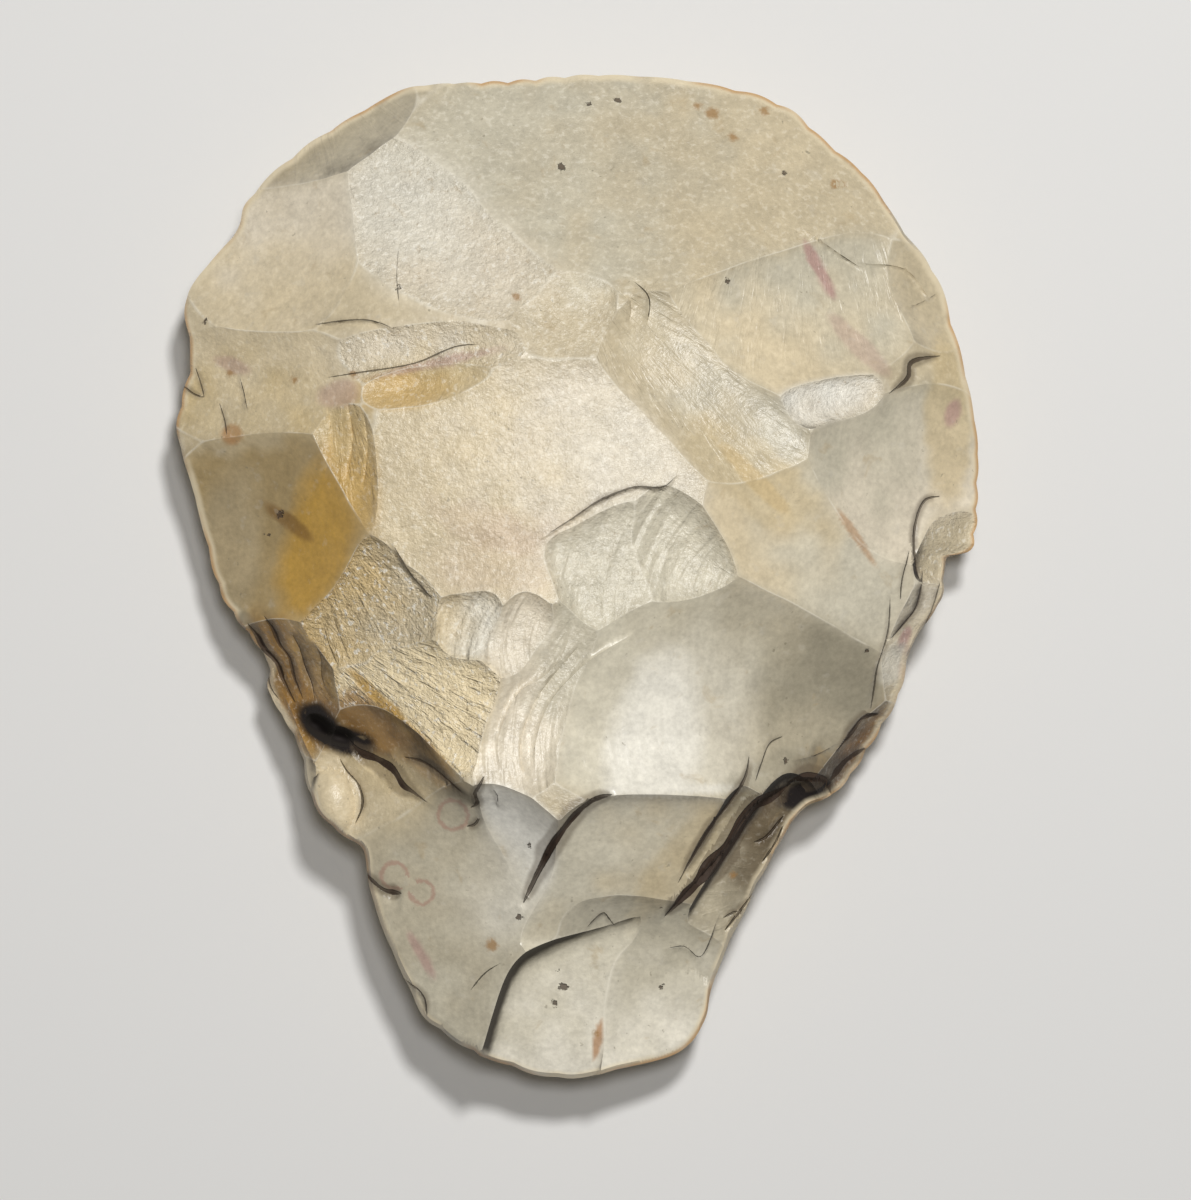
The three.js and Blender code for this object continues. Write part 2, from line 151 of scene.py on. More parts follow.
def scar(name, x, y, turn, fore, aft, left, right, deep, rim=2, wall=1, lean=0,
         level=None, rise_x=0, rise_y=0):
    return Scar(name, x, y, math.radians(turn), fore, aft, left, right, deep, rim, wall, lean,
                level, rise_x, rise_y)


def facet(share, rise_x, rise_y, *bowl):
    return scar(*bowl, level=share * FACE_RISE, rise_x=rise_x, rise_y=rise_y)


FACE_SCARS = [
    scar("top", 46.0, 91.0, 0, 30, 25, 14, 13.2, 2.8),
    scar("top_left_bevel", 15.0, 94.0, 30, 10, 12, 6, 4.4, 2.4),
    scar("upper_left_rough", 27.5, 85.3, -28, 13.5, 12, 8, 9, 1.8),
    scar("upper_left_smooth", 9.5, 82.0, 60, 12, 9, 9, 8.5, 2.0),
    scar("hump", 40.0, 77.6, 0, 4, 6.5, 4.6, 6.4, 0.6, 4),
    scar("rough_band", 24.0, 71.8, 5, 12, 12, 3, 3.4, 1.1),
    scar("ochre_hollow", 24.5, 69.0, 8, 8, 6.5, 2.6, 2.8, 1.7),
    scar("plateau", 36.5, 60.0, 0, 17, 17, 11.5, 14.5, 1.2, 4),
    scar("right_mid", 52.0, 68.5, -44, 13, 11, 5.8, 6.8, 2.5, 3),
    scar("right_upper", 62.0, 76.0, 20, 12, 16, 7.6, 8, 2.4, 3),
    scar("right_edge_upper", 73.5, 78.0, -50, 6.5, 6.5, 4.5, 3.4, 1.6),
    scar("right_shelf", 64.3, 67.6, 8, 6, 5.5, 2.4, 2.8, 1.7, 3),
    scar("right_facet", 70.5, 60.0, 20, 12, 7.6, 7.8, 9, 2.3, 3),
    scar("right_low", 61.5, 52.5, -42, 14, 12, 9, 7.0, 2.2),
    scar("white_triangle", 59.0, 46.8, -25, 7, 5.5, 2.6, 2.6, 1.2),
    scar("sheen_left", 41.5, 51.5, 117, 4.9, 8, 5.0, 9, 2.3, 4),
    scar("sheen_right", 50.0, 53.2, 128, 7.4, 7.4, 7.6, 4.4, 2.9, 2.6),
    scar("ripple_right", 35.2, 44.4, 138, 4.0, 4.4, 5.2, 4.0, 1.9, 4),
    scar("ripple_left", 29.2, 45.6, 100, 3.2, 4.0, 3.2, 4.0, 1.7, 4),
    scar("groove", 37.0, 39.5, 60, 10, 12, 4.6, 6, 2.3, 3),
    scar("big_bowl", 52.7, 37.4, 8, 18.6, 18, 13.6, 10.6, 4.6),
    scar("hackle_low", 25.0, 38.5, 70, 5.4, 7, 10, 8.4, 1.8, 4),
    scar("hackle_high", 21.0, 47.5, 50, 5.0, 9, 6.5, 6.0, 1.7, 4),
    scar("left_bowl", 8.8, 54.5, 60, 11, 9.4, 11, 11, 3.4),
    scar("left_top", 6.5, 69.5, 0, 13.5, 9, 5.8, 6.4, 1.8),
    scar("left_folds", 17.4, 62.6, -80, 9, 5.5, 3, 3.4, 1.5),
    scar("crinkles", 11.6, 40.6, -62, 10, 7.6, 4.4, 4.6, 2.2),
    scar("notch", 14.5, 35.1, -34, 2.5, 2.4, 1.4, 1.4, 4.2, 2.2),
    scar("notch_mouth", 17.0, 33.9, -14, 2.2, 2.4, 1.7, 1.2, 4.4, 2.2),
    facet(0.30, 0.50, -0.05, "ledge_foot", 19.5, 29.0, 43, 7.2, 16, 9.6, 20, 5.0, 2.6),
    facet(0.32, 0.32, 0.20, "tang_left", 24.0, 18.0, 60, 12.0, 22, 22, 15, 4.0, 6),
    facet(0.505, 0.26, 0.30, "tang_triangle", 31.0, 21.5, 50, 8.4, 12, 6.6, 11, 5.0, 3),
    facet(0.55, -0.20, 0.58, "tang_middle", 46.5, 21.4, 60, 9.6, 10.6, 10.2, 11.5, 4.5, 5, 2.2, 0.577),
    facet(0.474, -0.30, 0.40, "flank_strip", 54.3, 24.9, 57, 6.2, 8, 1.6, 4, 2.5, 4),
    facet(0.155, -0.05, 0.12, "tang_low", 40.4, 7.2, 73, 9.3, 20, 8.4, 4.0, 4.5, 6, 2.2, 0.70),
    facet(0.03, -0.22, 0.14, "tang_low_right", 50.5, 8.0, 80, 9.0, 12, 15, 8, 4.0, 3),
    facet(0.124, -0.4, 0.25, "right_flank", 58.0, 20.6, 57, 11, 18, 4.3, 8, 5.4, 5, 2.4),
    scar("right_notch", 76.6, 53.6, 80, 4.6, 4.6, 3, 3.5, 1.8, 4),
    scar("margin_high", 73.4, 44.0, 69, 7, 7, 2.8, 4, 1.1, 2),
    scar("margin_low", 67.6, 32.0, 54, 7, 7, 3, 3, 1.8, 2),
]

BACK_SCARS = [
    scar("back_tip", 38.0, 9.0, 90, 15, 14, 12, 12, 1.8),
    scar("back_tang_left", 24.0, 25.0, 50, 15, 13, 12, 10, 2.8),
    scar("back_tang_right", 55.0, 27.0, 120, 15, 13, 10, 12, 2.9),
    scar("back_low_left", 13.0, 43.0, 20, 15, 12, 10, 9, 2.6),
    scar("back_left", 8.0, 58.0, 5, 17, 11, 9, 9, 2.9),
    scar("back_left_high", 9.0, 76.0, -25, 17, 12, 10, 10, 2.7),
    scar("back_top_left", 24.0, 93.0, -75, 15, 12, 12, 12, 3.0),
    scar("back_top", 44.0, 95.0, -95, 17, 12, 11, 11, 2.8),
    scar("back_top_right", 62.0, 88.0, -130, 16, 12, 11, 11, 2.9),
    scar("back_right_high", 72.0, 72.0, 185, 17, 11, 9, 9, 2.7),
    scar("back_right", 72.0, 56.0, 175, 16, 11, 9, 8, 2.8),
    scar("back_low_right", 66.0, 41.0, 155, 16, 12, 9, 9, 2.9),
    scar("back_inner_low", 40.0, 33.0, 90, 11, 11, 9, 9, 1.6),
    scar("back_inner_high", 46.0, 77.0, 20, 11, 11, 8, 8, 1.5),
]

# What each blow left on its scar: two tones of the stone and the way in degrees from the
# first to the second, where the blow fell, and how strongly ripples ring that point,
# hackles fan from it and crumbs roughen the scar.
Trace = namedtuple("Trace", "tone other towards strike ripples hackles crumble")


def trace(tone, other=None, towards=0, strike=None, ripples=0.0, hackles=0.0, crumble=0.0):
    return Trace(tone, other or tone, math.radians(towards), strike, ripples, hackles, crumble)


TRACES = {
    "top": trace("ash", "sand", -10, strike=(48, 108), crumble=0.25),
    # the bevel's grey and dun, darker than the facets beside it, are painted shade
    "top_left_bevel": trace("grey", "dun", 150, strike=(12, 104), hackles=0.2),
    "upper_left_rough": trace("white", "cream", -50, strike=(12, 98), hackles=0.15, crumble=0.6),
    "upper_left_smooth": trace("cream", "buff", -85, strike=(0, 88), crumble=0.1),
    "hump": trace("pearl", "sand", -120, crumble=0.4),
    "rough_band": trace("cream", "buff", -80, crumble=0.7),
    "ochre_hollow": trace("tan", "gold", -160, crumble=0.4),
    "plateau": trace("cream", "buff", 190, crumble=0.35),
    "right_mid": trace("sand", "ash", 20, strike=(38, 82), hackles=0.22, crumble=0.15),
    "right_upper": trace("ash", "buff", -110, strike=(62, 110), hackles=0.16, crumble=0.05),
    "right_edge_upper": trace("sand", strike=(80, 80)),
    "right_shelf": trace("chalk", "cream", -60, crumble=0.6),
    "right_facet": trace("cream", "ash", 120, strike=(84, 60)),
    "right_low": trace("buff", "pearl", -20, strike=(78, 44)),
    "white_triangle": trace("white", crumble=0.6),
    "sheen_left": trace("pearl", strike=(60, 46), ripples=0.35, crumble=0.35),
    "sheen_right": trace("pearl", strike=(62, 46), ripples=0.6, hackles=0.12, crumble=0.3),
    "ripple_right": trace("cream", strike=(42, 43), ripples=0.9, crumble=0.3),
    "ripple_left": trace("white", "buff", 150, strike=(38, 42), ripples=0.9, crumble=0.6),
    "groove": trace("cream", "ash", 40, strike=(56, 33), ripples=0.5, crumble=0.2),
    "big_bowl": trace("pearl", "grey", 10, strike=(80, 40), ripples=0.07),
    "hackle_low": trace("honey", strike=(6, 50), hackles=0.7, crumble=0.8),
    "hackle_high": trace("gold", "buff", -20, strike=(10, 62), hackles=0.35, crumble=1.0),
    "left_bowl": trace("drab", strike=(-8, 50)),
    "left_top": trace("buff", "tan", -100, strike=(-8, 70), crumble=0.2),
    "left_folds": trace("tan", "ochre", -60, hackles=0.3, crumble=0.3),
    "crinkles": trace("bronze", "ochre", 20, hackles=0.2, crumble=0.3),
    # the notch's near-black tone is painted shadow in its hollow
    "notch": trace("shadow_black"),
    "notch_mouth": trace("shadow_black"),
    "ledge_foot": trace("tan", "sand", -130, strike=(16, 36), crumble=0.15),
    "tang_left": trace("grey", "ash", -110, strike=(10, 10)),
    "tang_triangle": trace("chalk", strike=(30, 40)),
    "tang_middle": trace("pearl", "sand", -30, strike=(56, 30)),
    "flank_strip": trace("dun", "grey", -125, strike=(56, 36), crumble=0.15),
    "tang_low": trace("pearl", "white", -70, strike=(40, -8)),
    "tang_low_right": trace("white", "ash", 90, strike=(60, 0)),
    # the right flank's dark grey-brown tone is painted shade on a steep face
    "right_flank": trace("shade_dark", "grey", -125, strike=(70, 20), hackles=0.15, crumble=0.12),
    "right_notch": trace("sand", crumble=0.6),
    "margin_high": trace("cream", "buff", -90, crumble=0.4),
    "margin_low": trace("umber", "brown", -120, crumble=0.4),
}
PLAIN = trace("sand", crumble=0.1)


def crumple(x, y, pitch, seed):
    """Smooth random relief from -1 to 1: random heights at lattice corners a pitch apart, blended."""
    rough = np.random.default_rng(seed).uniform(-1, 1, (256, 256))
    px, py = x / pitch + 64, y / pitch + 64
    column, row = np.floor(px).astype(int), np.floor(py).astype(int)
    u, v = px - column, py - row
    u, v = u * u * (3 - 2 * u), v * v * (3 - 2 * v)
    low = rough[column % 256, row % 256] * (1 - u) + rough[(column + 1) % 256, row % 256] * u
    high = (rough[column % 256, (row + 1) % 256] * (1 - u)
            + rough[(column + 1) % 256, (row + 1) % 256] * u)
    return low * (1 - v) + high * v


# Unevenness of a scar's ground: rise in mm and pitch in squares
SLOW_WAVER, SLOW_PITCH = 0.12, 6.5
SMALL_WAVER, SMALL_PITCH = 0.05, 2.1
ROUGH_WAVER = 0.12


def scar_height(s, base, x, y):
    """The bowl's height: its depth times a sum of powers of the shares of its reach each way,
    raised to the wall power, with a slow waver and a small one, larger on a rough scar."""
    dx, dy = x - s.x, y - s.y
    along = dx * math.cos(s.turn) + dy * math.sin(s.turn)
    across = dy * math.cos(s.turn) - dx * math.sin(s.turn)
    along = along + s.lean * across
    bowl = (np.abs(along) / np.where(along > 0, s.fore, s.aft)) ** s.rim
    bowl += (np.abs(across) / np.where(across > 0, s.left, s.right)) ** s.rim
    bowl = bowl ** s.wall
    seed = int(7 * s.x + s.y)
    small = SMALL_WAVER + ROUGH_WAVER * TRACES.get(s.name, PLAIN).crumble
    waver = SLOW_WAVER * crumple(x, y, SLOW_PITCH, seed) + small * crumple(x, y, SMALL_PITCH, seed + 1)
    if s.level is None:
        return base + s.deep * HEIGHT_UNIT * (bowl - 1) + waver
    slope = s.rise_x * dx * SQUARE_X + s.rise_y * dy * SQUARE_Y
    return s.level + slope + s.deep * HEIGHT_UNIT * bowl + waver


def face_stack(x, y):
    """The heights of all the worked face's scars and last of the blank, one over another."""
    base = blank_height(x, y, FACE_RISE, FACE_FALL, FACE_TANG_FULLNESS)
    return np.stack([scar_height(s, base, x, y) for s in FACE_SCARS] + [base])


def back_stack(x, y):
    """The same on the hidden face, where the blank is cut off flat at the rest."""
    base = blank_height(x, y, BACK_RISE, BACK_FALL, BACK_TANG_FULLNESS)
    return np.stack([scar_height(s, base, x, y) for s in BACK_SCARS] + [np.minimum(base, REST_DEPTH)])


KNOB_FOOT = 3.4
KNOB_RISE = 3.0
KNOB_AT = (15.9, 27.8)
KNOB_TURN = math.radians(-76)
KNOB_LONG, KNOB_WIDE = 3.5, 2.4


def knob_height(x, y):
    """The upper half of an egg: its rise times the root of one less the squared share of its half
    widths, and nothing outside."""
    dx, dy = x - KNOB_AT[0], y - KNOB_AT[1]
    along = (dx * math.cos(KNOB_TURN) + dy * math.sin(KNOB_TURN)) / KNOB_LONG
    across = (dy * math.cos(KNOB_TURN) - dx * math.sin(KNOB_TURN)) / KNOB_WIDE
    left_over = 1 - along ** 2 - across ** 2
    return np.where(left_over > 0, KNOB_FOOT + KNOB_RISE * np.maximum(0, left_over) ** 0.5, -50.0)


def inset(x, y):
    """Distance in from the edge in mm: the gap along the ray, less where the edge is slanted to it."""
    dx, dy = x - CENTRE[0], y - CENTRE[1]
    angle = np.arctan2(dy, dx)
    step = 0.02
    slant = (reach(angle + step) - reach(angle - step)) / (2 * step * reach(angle))
    gap = chipped_reach(angle) - np.hypot(dx, dy)
    return np.maximum(0, gap * SQUARE_Y / np.hypot(1, slant))


def plan_grid(cells):
    """A square of cells pushed out to the outline: rings keep their share of the reach."""
    a, b = np.meshgrid(np.linspace(-1, 1, cells + 1), np.linspace(-1, 1, cells + 1), indexing="ij")
    share = np.maximum(np.abs(a), np.abs(b))
    wide = np.abs(a) > np.abs(b)
    safe_a, safe_b = np.where(a == 0, 1, a), np.where(b == 0, 1, b)
    angle = np.where(wide, math.pi / 4 * b / safe_a, math.pi / 2 - math.pi / 4 * a / safe_b)
    angle = angle + math.pi * np.where(wide, a < 0, b < 0)
    angle = np.where(angle > math.pi, angle - 2 * math.pi, angle)
    smooth = blank_reach(angle)
    out = share * (smooth + (chipped_reach(angle) - smooth) * share ** 6)
    return CENTRE[0] + out * np.cos(angle), CENTRE[1] + out * np.sin(angle)


def bent_line(corners, steps=5):
    """Open curve through the corners, each span a cubic that leans along its neighbours."""
    corners = np.array(corners, float)
    ends = np.concatenate([2 * corners[:1] - corners[1:2], corners, 2 * corners[-1:] - corners[-2:-1]])
    spans = cubic_spans(ends[:-3], ends[1:-2], ends[2:-1], ends[3:], steps)
    return np.concatenate([spans, corners[-1:]])


def beside(x, y, line):
    """Distance in mm to a line, positive on its left, and the share along it."""
    nearest = np.full(x.shape, np.inf)
    side, share = np.zeros(x.shape), np.zeros(x.shape)
    spans = len(line) - 1
    for number, ((ax, ay), (bx, by)) in enumerate(zip(line[:-1], line[1:])):
        wide, tall = (bx - ax) * SQUARE_X, (by - ay) * SQUARE_Y
        px, py = (x - ax) * SQUARE_X, (y - ay) * SQUARE_Y
        t = np.clip((px * wide + py * tall) / (wide ** 2 + tall ** 2), 0, 1)
        away = np.hypot(px - t * wide, py - t * tall)
        closer = away < nearest
        nearest = np.where(closer, away, nearest)
        side = np.where(closer, np.sign(wide * py - tall * px), side)
        share = np.where(closer, (number + t) / spans, share)
    return nearest * np.where(side == 0, 1, side), share


# A crease is a crack or a small step where a flake stopped: its left and right banks rise or
# sink by so many mm and run out over so many mm; dark is half the width of the dark line along it: dirt
# in a crack, painted shadow at an undercut or a wall's foot.
Crease = namedtuple("Crease", "line left left_run right right_run dark")


def crease(corners, left, left_run, right, right_run, dark=0.0):
    return Crease(bent_line(corners), left, left_run, right, right_run, dark)


CREASES = [
    # thin shell left standing over the plateau's lower right
    crease([(36.2, 53.6), (39.9, 56.0), (42.2, 57.5), (45.5, 58.8), (48.3, 58.8), (49.9, 60.2)],
           0.35, 2.4, -0.55, 0.8, 0.09),
    # crushed lip at the plateau's lower left
    crease([(21.8, 53.4), (23.7, 50.3), (25.9, 47.8)], 0.4, 0.8, -0.5, 1.2, 0.08),
    # shreds along the rough band
    crease([(13.2, 74.8), (17.2, 75.3), (19.9, 75.2), (22.4, 74.2)], 0.2, 1.5, -0.5, 1.2, 0.05),
    crease([(14.5, 69.6), (19.0, 70.2), (24.0, 71.0), (28.0, 72.6), (31.0, 72.8)],
           -0.3, 1.0, -0.4, 1.6, 0.05),
    crease([(22.5, 84.3), (22.2, 80.0), (22.6, 75.8)], -0.12, 0.5, -0.12, 0.5, 0.02),
    # zigzag crack at the right
    crease([(70.5, 68.0), (72.7, 69.8), (73.2, 71.5), (76.4, 72.2)], -0.5, 0.7, -0.9, 1.0, 0.2),
    crease([(68.2, 81.3), (72.7, 80.8), (75.2, 77.8)], 0.3, 1.6, -0.25, 1.0),
    crease([(72.7, 76.8), (74.7, 77.8), (76.0, 78.6)], 0.2, 1.0, -0.3, 1.0),
    crease([(61.7, 85.0), (65.0, 82.8), (68.5, 80.6)], 0.3, 2.0, -0.3, 1.5),
    # crinkles by the left edge
    crease([(0.3, 69.4), (1.6, 68.4), (2.9, 68.0)], -0.3, 0.7, -0.3, 0.7, 0.09),
    crease([(1.7, 71.2), (2.3, 69.4), (2.7, 67.9)], -0.2, 0.6, -0.25, 0.8, 0.08),
    crease([(6.3, 70.2), (6.8, 68.4), (7.2, 66.6)], 0.2, 1.0, -0.3, 0.8, 0.06),
    crease([(4.2, 67.6), (4.8, 65.8), (5.1, 64.2)], -0.2, 0.7, -0.25, 0.7, 0.06),
    # undercut foot of the ledge, its dark line a painted shadow, and the cracks in it
    crease([(17.0, 34.2), (18.4, 32.7), (20.2, 32.0), (21.7, 31.0),
            (22.7, 29.5), (23.7, 28.8), (25.4, 27.6)],
           -0.25, 0.9, -0.7, 1.3, 0.40),
    crease([(22.7, 32.3), (25.0, 31.8), (27.6, 29.9), (29.0, 28.6)], -0.2, 0.8, -0.35, 1.0, 0.12),
    # narrow folds, winding side by side down the waist to the notch; their dark valley lines are partly
    # dirt and partly painted shade
    crease([(5.2, 46.6), (6.6, 44.6), (7.4, 42.6), (8.6, 41.2), (9.2, 39.0), (10.4, 37.4)],
           -0.75, 0.7, -0.55, 0.9, 0.16),
    crease([(6.9, 45.6), (7.9, 44.2), (8.6, 42.9), (9.9, 41.5), (10.6, 39.6), (11.9, 37.2)],
           -0.80, 0.7, -0.50, 0.8, 0.26),
    crease([(8.6, 46.4), (9.6, 44.9), (10.2, 43.4), (11.2, 42.0), (11.7, 39.9), (12.7, 37.6)],
           -0.65, 0.7, -0.65, 0.8, 0.18),
    crease([(11.5, 44.6), (12.3, 43.0), (12.8, 41.2), (13.5, 39.4), (13.8, 37.6)],
           -0.55, 0.8, -0.70, 0.7, 0.07),
    crease([(13.4, 44.4), (14.5, 42.2), (14.6, 40.0), (15.4, 38.0)], -0.25, 0.6, -0.40, 0.6, 0.03),
    crease([(14.7, 46.0), (15.3, 43.6), (16.3, 41.2)], -0.20, 0.5, -0.30, 0.5, 0.03),
    crease([(15.7, 46.6), (16.5, 44.2), (17.3, 42.2)], -0.15, 0.5, -0.30, 0.5, 0.02),
    # neck of the knob, and the valley beside it
    crease([(10.4, 38.8), (11.6, 36.2), (12.8, 33.4), (14.4, 30.4)], 0.9, 0.9, 0.9, 0.9),
    crease([(16.0, 32.6), (17.0, 30.8), (18.2, 29.4), (18.6, 27.4), (17.6, 25.0)],
           -0.5, 0.7, -0.3, 0.7, 0.07),
    crease([(17.0, 33.0), (18.4, 31.4), (20.0, 30.0)], 0.3, 1.3, 0.3, 1.3),
    crease([(31.0, 30.9), (30.5, 29.8), (29.9, 28.8), (30.2, 27.9), (29.4, 27.3)],
           -0.5, 0.7, -0.3, 0.7, 0.14),
    crease([(30.4, 26.6), (29.9, 25.7), (28.9, 25.4)], -0.3, 0.6, -0.3, 0.6, 0.09),
    crease([(31.5, 29.6), (32.2, 28.6), (32.0, 27.6)], 0.25, 0.6, -0.2, 0.7, 0.02),
    # wall down to the facet in the middle of the tang, with a painted shadow along it
    crease([(43.6, 28.9), (41.4, 28.2), (39.6, 26.6), (37.8, 24.2), (36.4, 21.6), (34.4, 17.4)],
           -0.8, 1.3, 0.2, 1.0, 0.40),
    crease([(29.0, 8.6), (30.8, 10.8), (33.0, 12.2)], -0.12, 0.6, -0.12, 0.6, 0.03),
    # rift down the right flank, the split beside it, the arch above and the gap by the edge; their black
    # lines are painted shadow
    crease([(61.6, 29.8), (59.4, 28.3), (57.5, 27.4), (56.2, 25.8),
            (54.4, 22.9), (51.2, 19.3), (48.2, 15.8)],
           -1.2, 1.8, 0.2, 0.8, 0.70),
    crease([(57.0, 33.0), (56.5, 30.4), (54.9, 27.8), (53.1, 25.5), (51.5, 22.8), (49.6, 19.2)],
           -0.4, 0.8, 0.1, 0.8, 0.20),
    crease([(60.6, 29.6), (62.4, 30.2), (64.6, 29.8), (65.4, 28.2)], -0.2, 0.8, -1.4, 1.6, 0.42),
    crease([(64.9, 29.4), (66.8, 31.7), (69.0, 33.0)], -0.3, 0.8, -0.8, 1.0, 0.34),
    # lip of the lowest facet of the tang
    crease([(40.7, 15.0), (41.8, 16.3), (42.6, 16.8), (43.2, 16.0), (43.8, 15.2)],
           0.1, 0.8, -0.3, 0.8, 0.05),
    # folds low on the right flank
    crease([(48.5, 12.9), (50.6, 13.2), (52.4, 12.2), (54.2, 16.8)], 0.2, 1.2, -0.35, 1.0, 0.04),
    crease([(54.5, 14.6), (56.4, 17.0), (58.4, 19.6)], -0.4, 1.0, 0.3, 1.4, 0.08),
    crease([(50.4, 11.4), (53.4, 9.4), (54.4, 6.6)], -0.2, 1.0, 0.1, 1.0),
    crease([(57.4, 23.6), (58.8, 24.2), (60.6, 26.4)], -0.3, 0.8, 0.2, 0.8, 0.12),
    crease([(58.2, 21.4), (59.6, 23.4), (60.6, 25.6)], -0.3, 0.7, 0.2, 0.8, 0.06),
    crease([(54.4, 16.0), (55.6, 16.6), (56.4, 16.4)], -0.3, 0.7, 0.1, 0.8, 0.08),
    # ledges of the right margin
    crease([(76.4, 58.2), (74.4, 57.6), (73.4, 54.5), (73.6, 51.0), (74.2, 49.4)],
           -0.4, 0.9, -0.1, 0.8, 0.1),
    crease([(74.4, 51.0), (73.8, 47.4), (72.6, 45.6), (71.0, 43.8)], -0.5, 0.8, -0.2, 0.7, 0.13),
    crease([(71.0, 48.6), (70.8, 44.6), (69.8, 41.2), (69.5, 38.8), (69.2, 36.6)],
           -0.35, 0.8, 0.0, 0.8, 0.07),
    crease([(73.0, 53.0), (72.2, 50.0), (72.0, 47.6)], -0.25, 0.7, 0.1, 0.7, 0.05),
    crease([(76.2, 50.0), (75.4, 47.0), (74.2, 44.4)], -0.3, 0.7, -0.1, 0.7, 0.05),
    crease([(70.4, 36.4), (68.6, 36.1), (67.4, 34.7), (65.8, 32.6)], -0.7, 1.0, 0.0, 0.8, 0.26),
    crease([(60.6, 34.4), (59.0, 33.6), (58.2, 31.8), (57.4, 29.6)], -0.2, 0.8, 0.1, 0.8, 0.05),
    crease([(61.0, 31.8), (63.6, 32.4), (66.0, 33.6)], 0.3, 1.2, -0.2, 1.0),
    # long curls between the plateau's foot and the big bowl
    crease([(45.6, 44.6), (42.2, 42.6), (39.7, 40.6), (37.2, 37.6), (35.9, 33.8), (35.9, 30.0)],
           0.3, 0.9, -0.25, 1.2),
    crease([(40.4, 43.6), (37.8, 40.6), (35.6, 37.4), (34.4, 33.6), (34.8, 30.2)], -0.3, 0.8, 0.2, 0.9),
    crease([(39.4, 45.0), (38.6, 42.6), (36.8, 40.4), (34.5, 39.0),
            (33.0, 36.6), (32.2, 33.6), (32.6, 30.8)],
           0.2, 0.8, -0.35, 1.0),
    # flutes beside the hump
    crease([(43.6, 78.4), (45.2, 76.8), (45.0, 74.8)], -0.35, 0.8, 0.1, 1.0),
    crease([(45.2, 79.4), (47.0, 77.4), (46.8, 74.6)], -0.35, 0.8, 0.1, 1.0, 0.03),
    # folds above the left bowl
    crease([(15.4, 67.0), (15.8, 63.4), (15.0, 59.6)], -0.25, 0.7, 0.15, 1.0),
    crease([(17.4, 67.4), (17.9, 63.6), (17.2, 59.4)], -0.3, 0.7, 0.15, 1.0),
    crease([(19.0, 66.4), (19.4, 62.8), (18.9, 58.4)], -0.3, 0.7, 0.1, 1.0),
    # nick in the tang's left edge, its upper wall darkened with painted shade
    crease([(18.6, 20.8), (20.6, 19.0), (22.6, 18.6)], -0.5, 0.9, -1.2, 1.2, 0.25),
    crease([(22.7, 10.0), (24.6, 8.4), (25.0, 6.0)], 0.0, 1.0, -0.6, 1.0, 0.1),
]

# A point this near a line is on it, points further off don't slide to it, and a triangle
# with no line or mark near it holds the last distance, all in mm
ON_LINE = 0.04
BANK_REACH = 1.2
FAR_AWAY = 9.0
# Squares beyond a crease's ends within which the ground can feel it
CREASE_FELT = 6


def near_crease(c, x, y):
    """The grid points inside a circle about the crease that is that much larger than it."""
    middle = (c.line.max(0) + c.line.min(0)) / 2
    half_long = np.hypot(*np.ptp(c.line, axis=0)) / 2
    return np.hypot(x - middle[0], y - middle[1]) < half_long + CREASE_FELT


def crease_swell(x, y, share):
    """How full a crease is: nothing at its ends, one along its middle, and uneven on the way."""
    return np.clip(4 * np.minimum(share, 1 - share), 0, 1) ** 0.6 * (1 + 0.35 * crumple(x, y, 1.7, 21))


def crease_relief(x, y):
    """The rise of the ground beside all creases: each bank dies away over its run."""
    rise = np.zeros(x.shape)
    for c in CREASES:
        close = near_crease(c, x, y)
        away, share = beside(x[close], y[close], c.line)
        left = c.left * np.exp(-np.abs(away) / c.left_run)
        right = c.right * np.exp(-np.abs(away) / c.right_run)
        rise[close] += crease_swell(x[close], y[close], share) * np.where(away > -ON_LINE, left, right)
    return rise


def crack_lines(corners, creases):
    """For each triangle the crease nearest its middle: the signed distance in mm of its corners
    to that line, and the half width of the dark line there, dirt in a crack and painted shadow at an
    undercut."""
    middle = corners.mean(1)
    nearest = np.full(len(corners), FAR_AWAY)
    lines = np.zeros((len(corners), 3, 3))
    lines[..., 0] = FAR_AWAY
    for c in creases:
        close = np.flatnonzero(near_crease(c, middle[:, 0], middle[:, 1]))
        away = np.abs(beside(middle[close, 0], middle[close, 1], c.line)[0])
        own = close[away < nearest[close]]
        nearest[own] = away[away < nearest[close]]
        x, y = corners[own, :, 0], corners[own, :, 1]
        away, share = beside(x, y, c.line)
        past_end = ((share <= 0) | (share >= 1)).any(1)
        lines[own, :, 0] = np.where(past_end[:, None], FAR_AWAY, away)
        lines[own, :, 1] = c.dark * (1.3 * crease_swell(x, y, share) - 0.3)
    return lines


def crease_side(c, x, y):
    """Signed distance to a crease near it, and no number elsewhere."""
    side = np.full(x.shape, np.nan)
    close = near_crease(c, x, y)
    away, share = beside(x[close], y[close], c.line)
    side[close] = np.where((share > 0) & (share < 1) & (np.abs(away) < BANK_REACH), away, np.nan)
    return side


SLIDES = 3


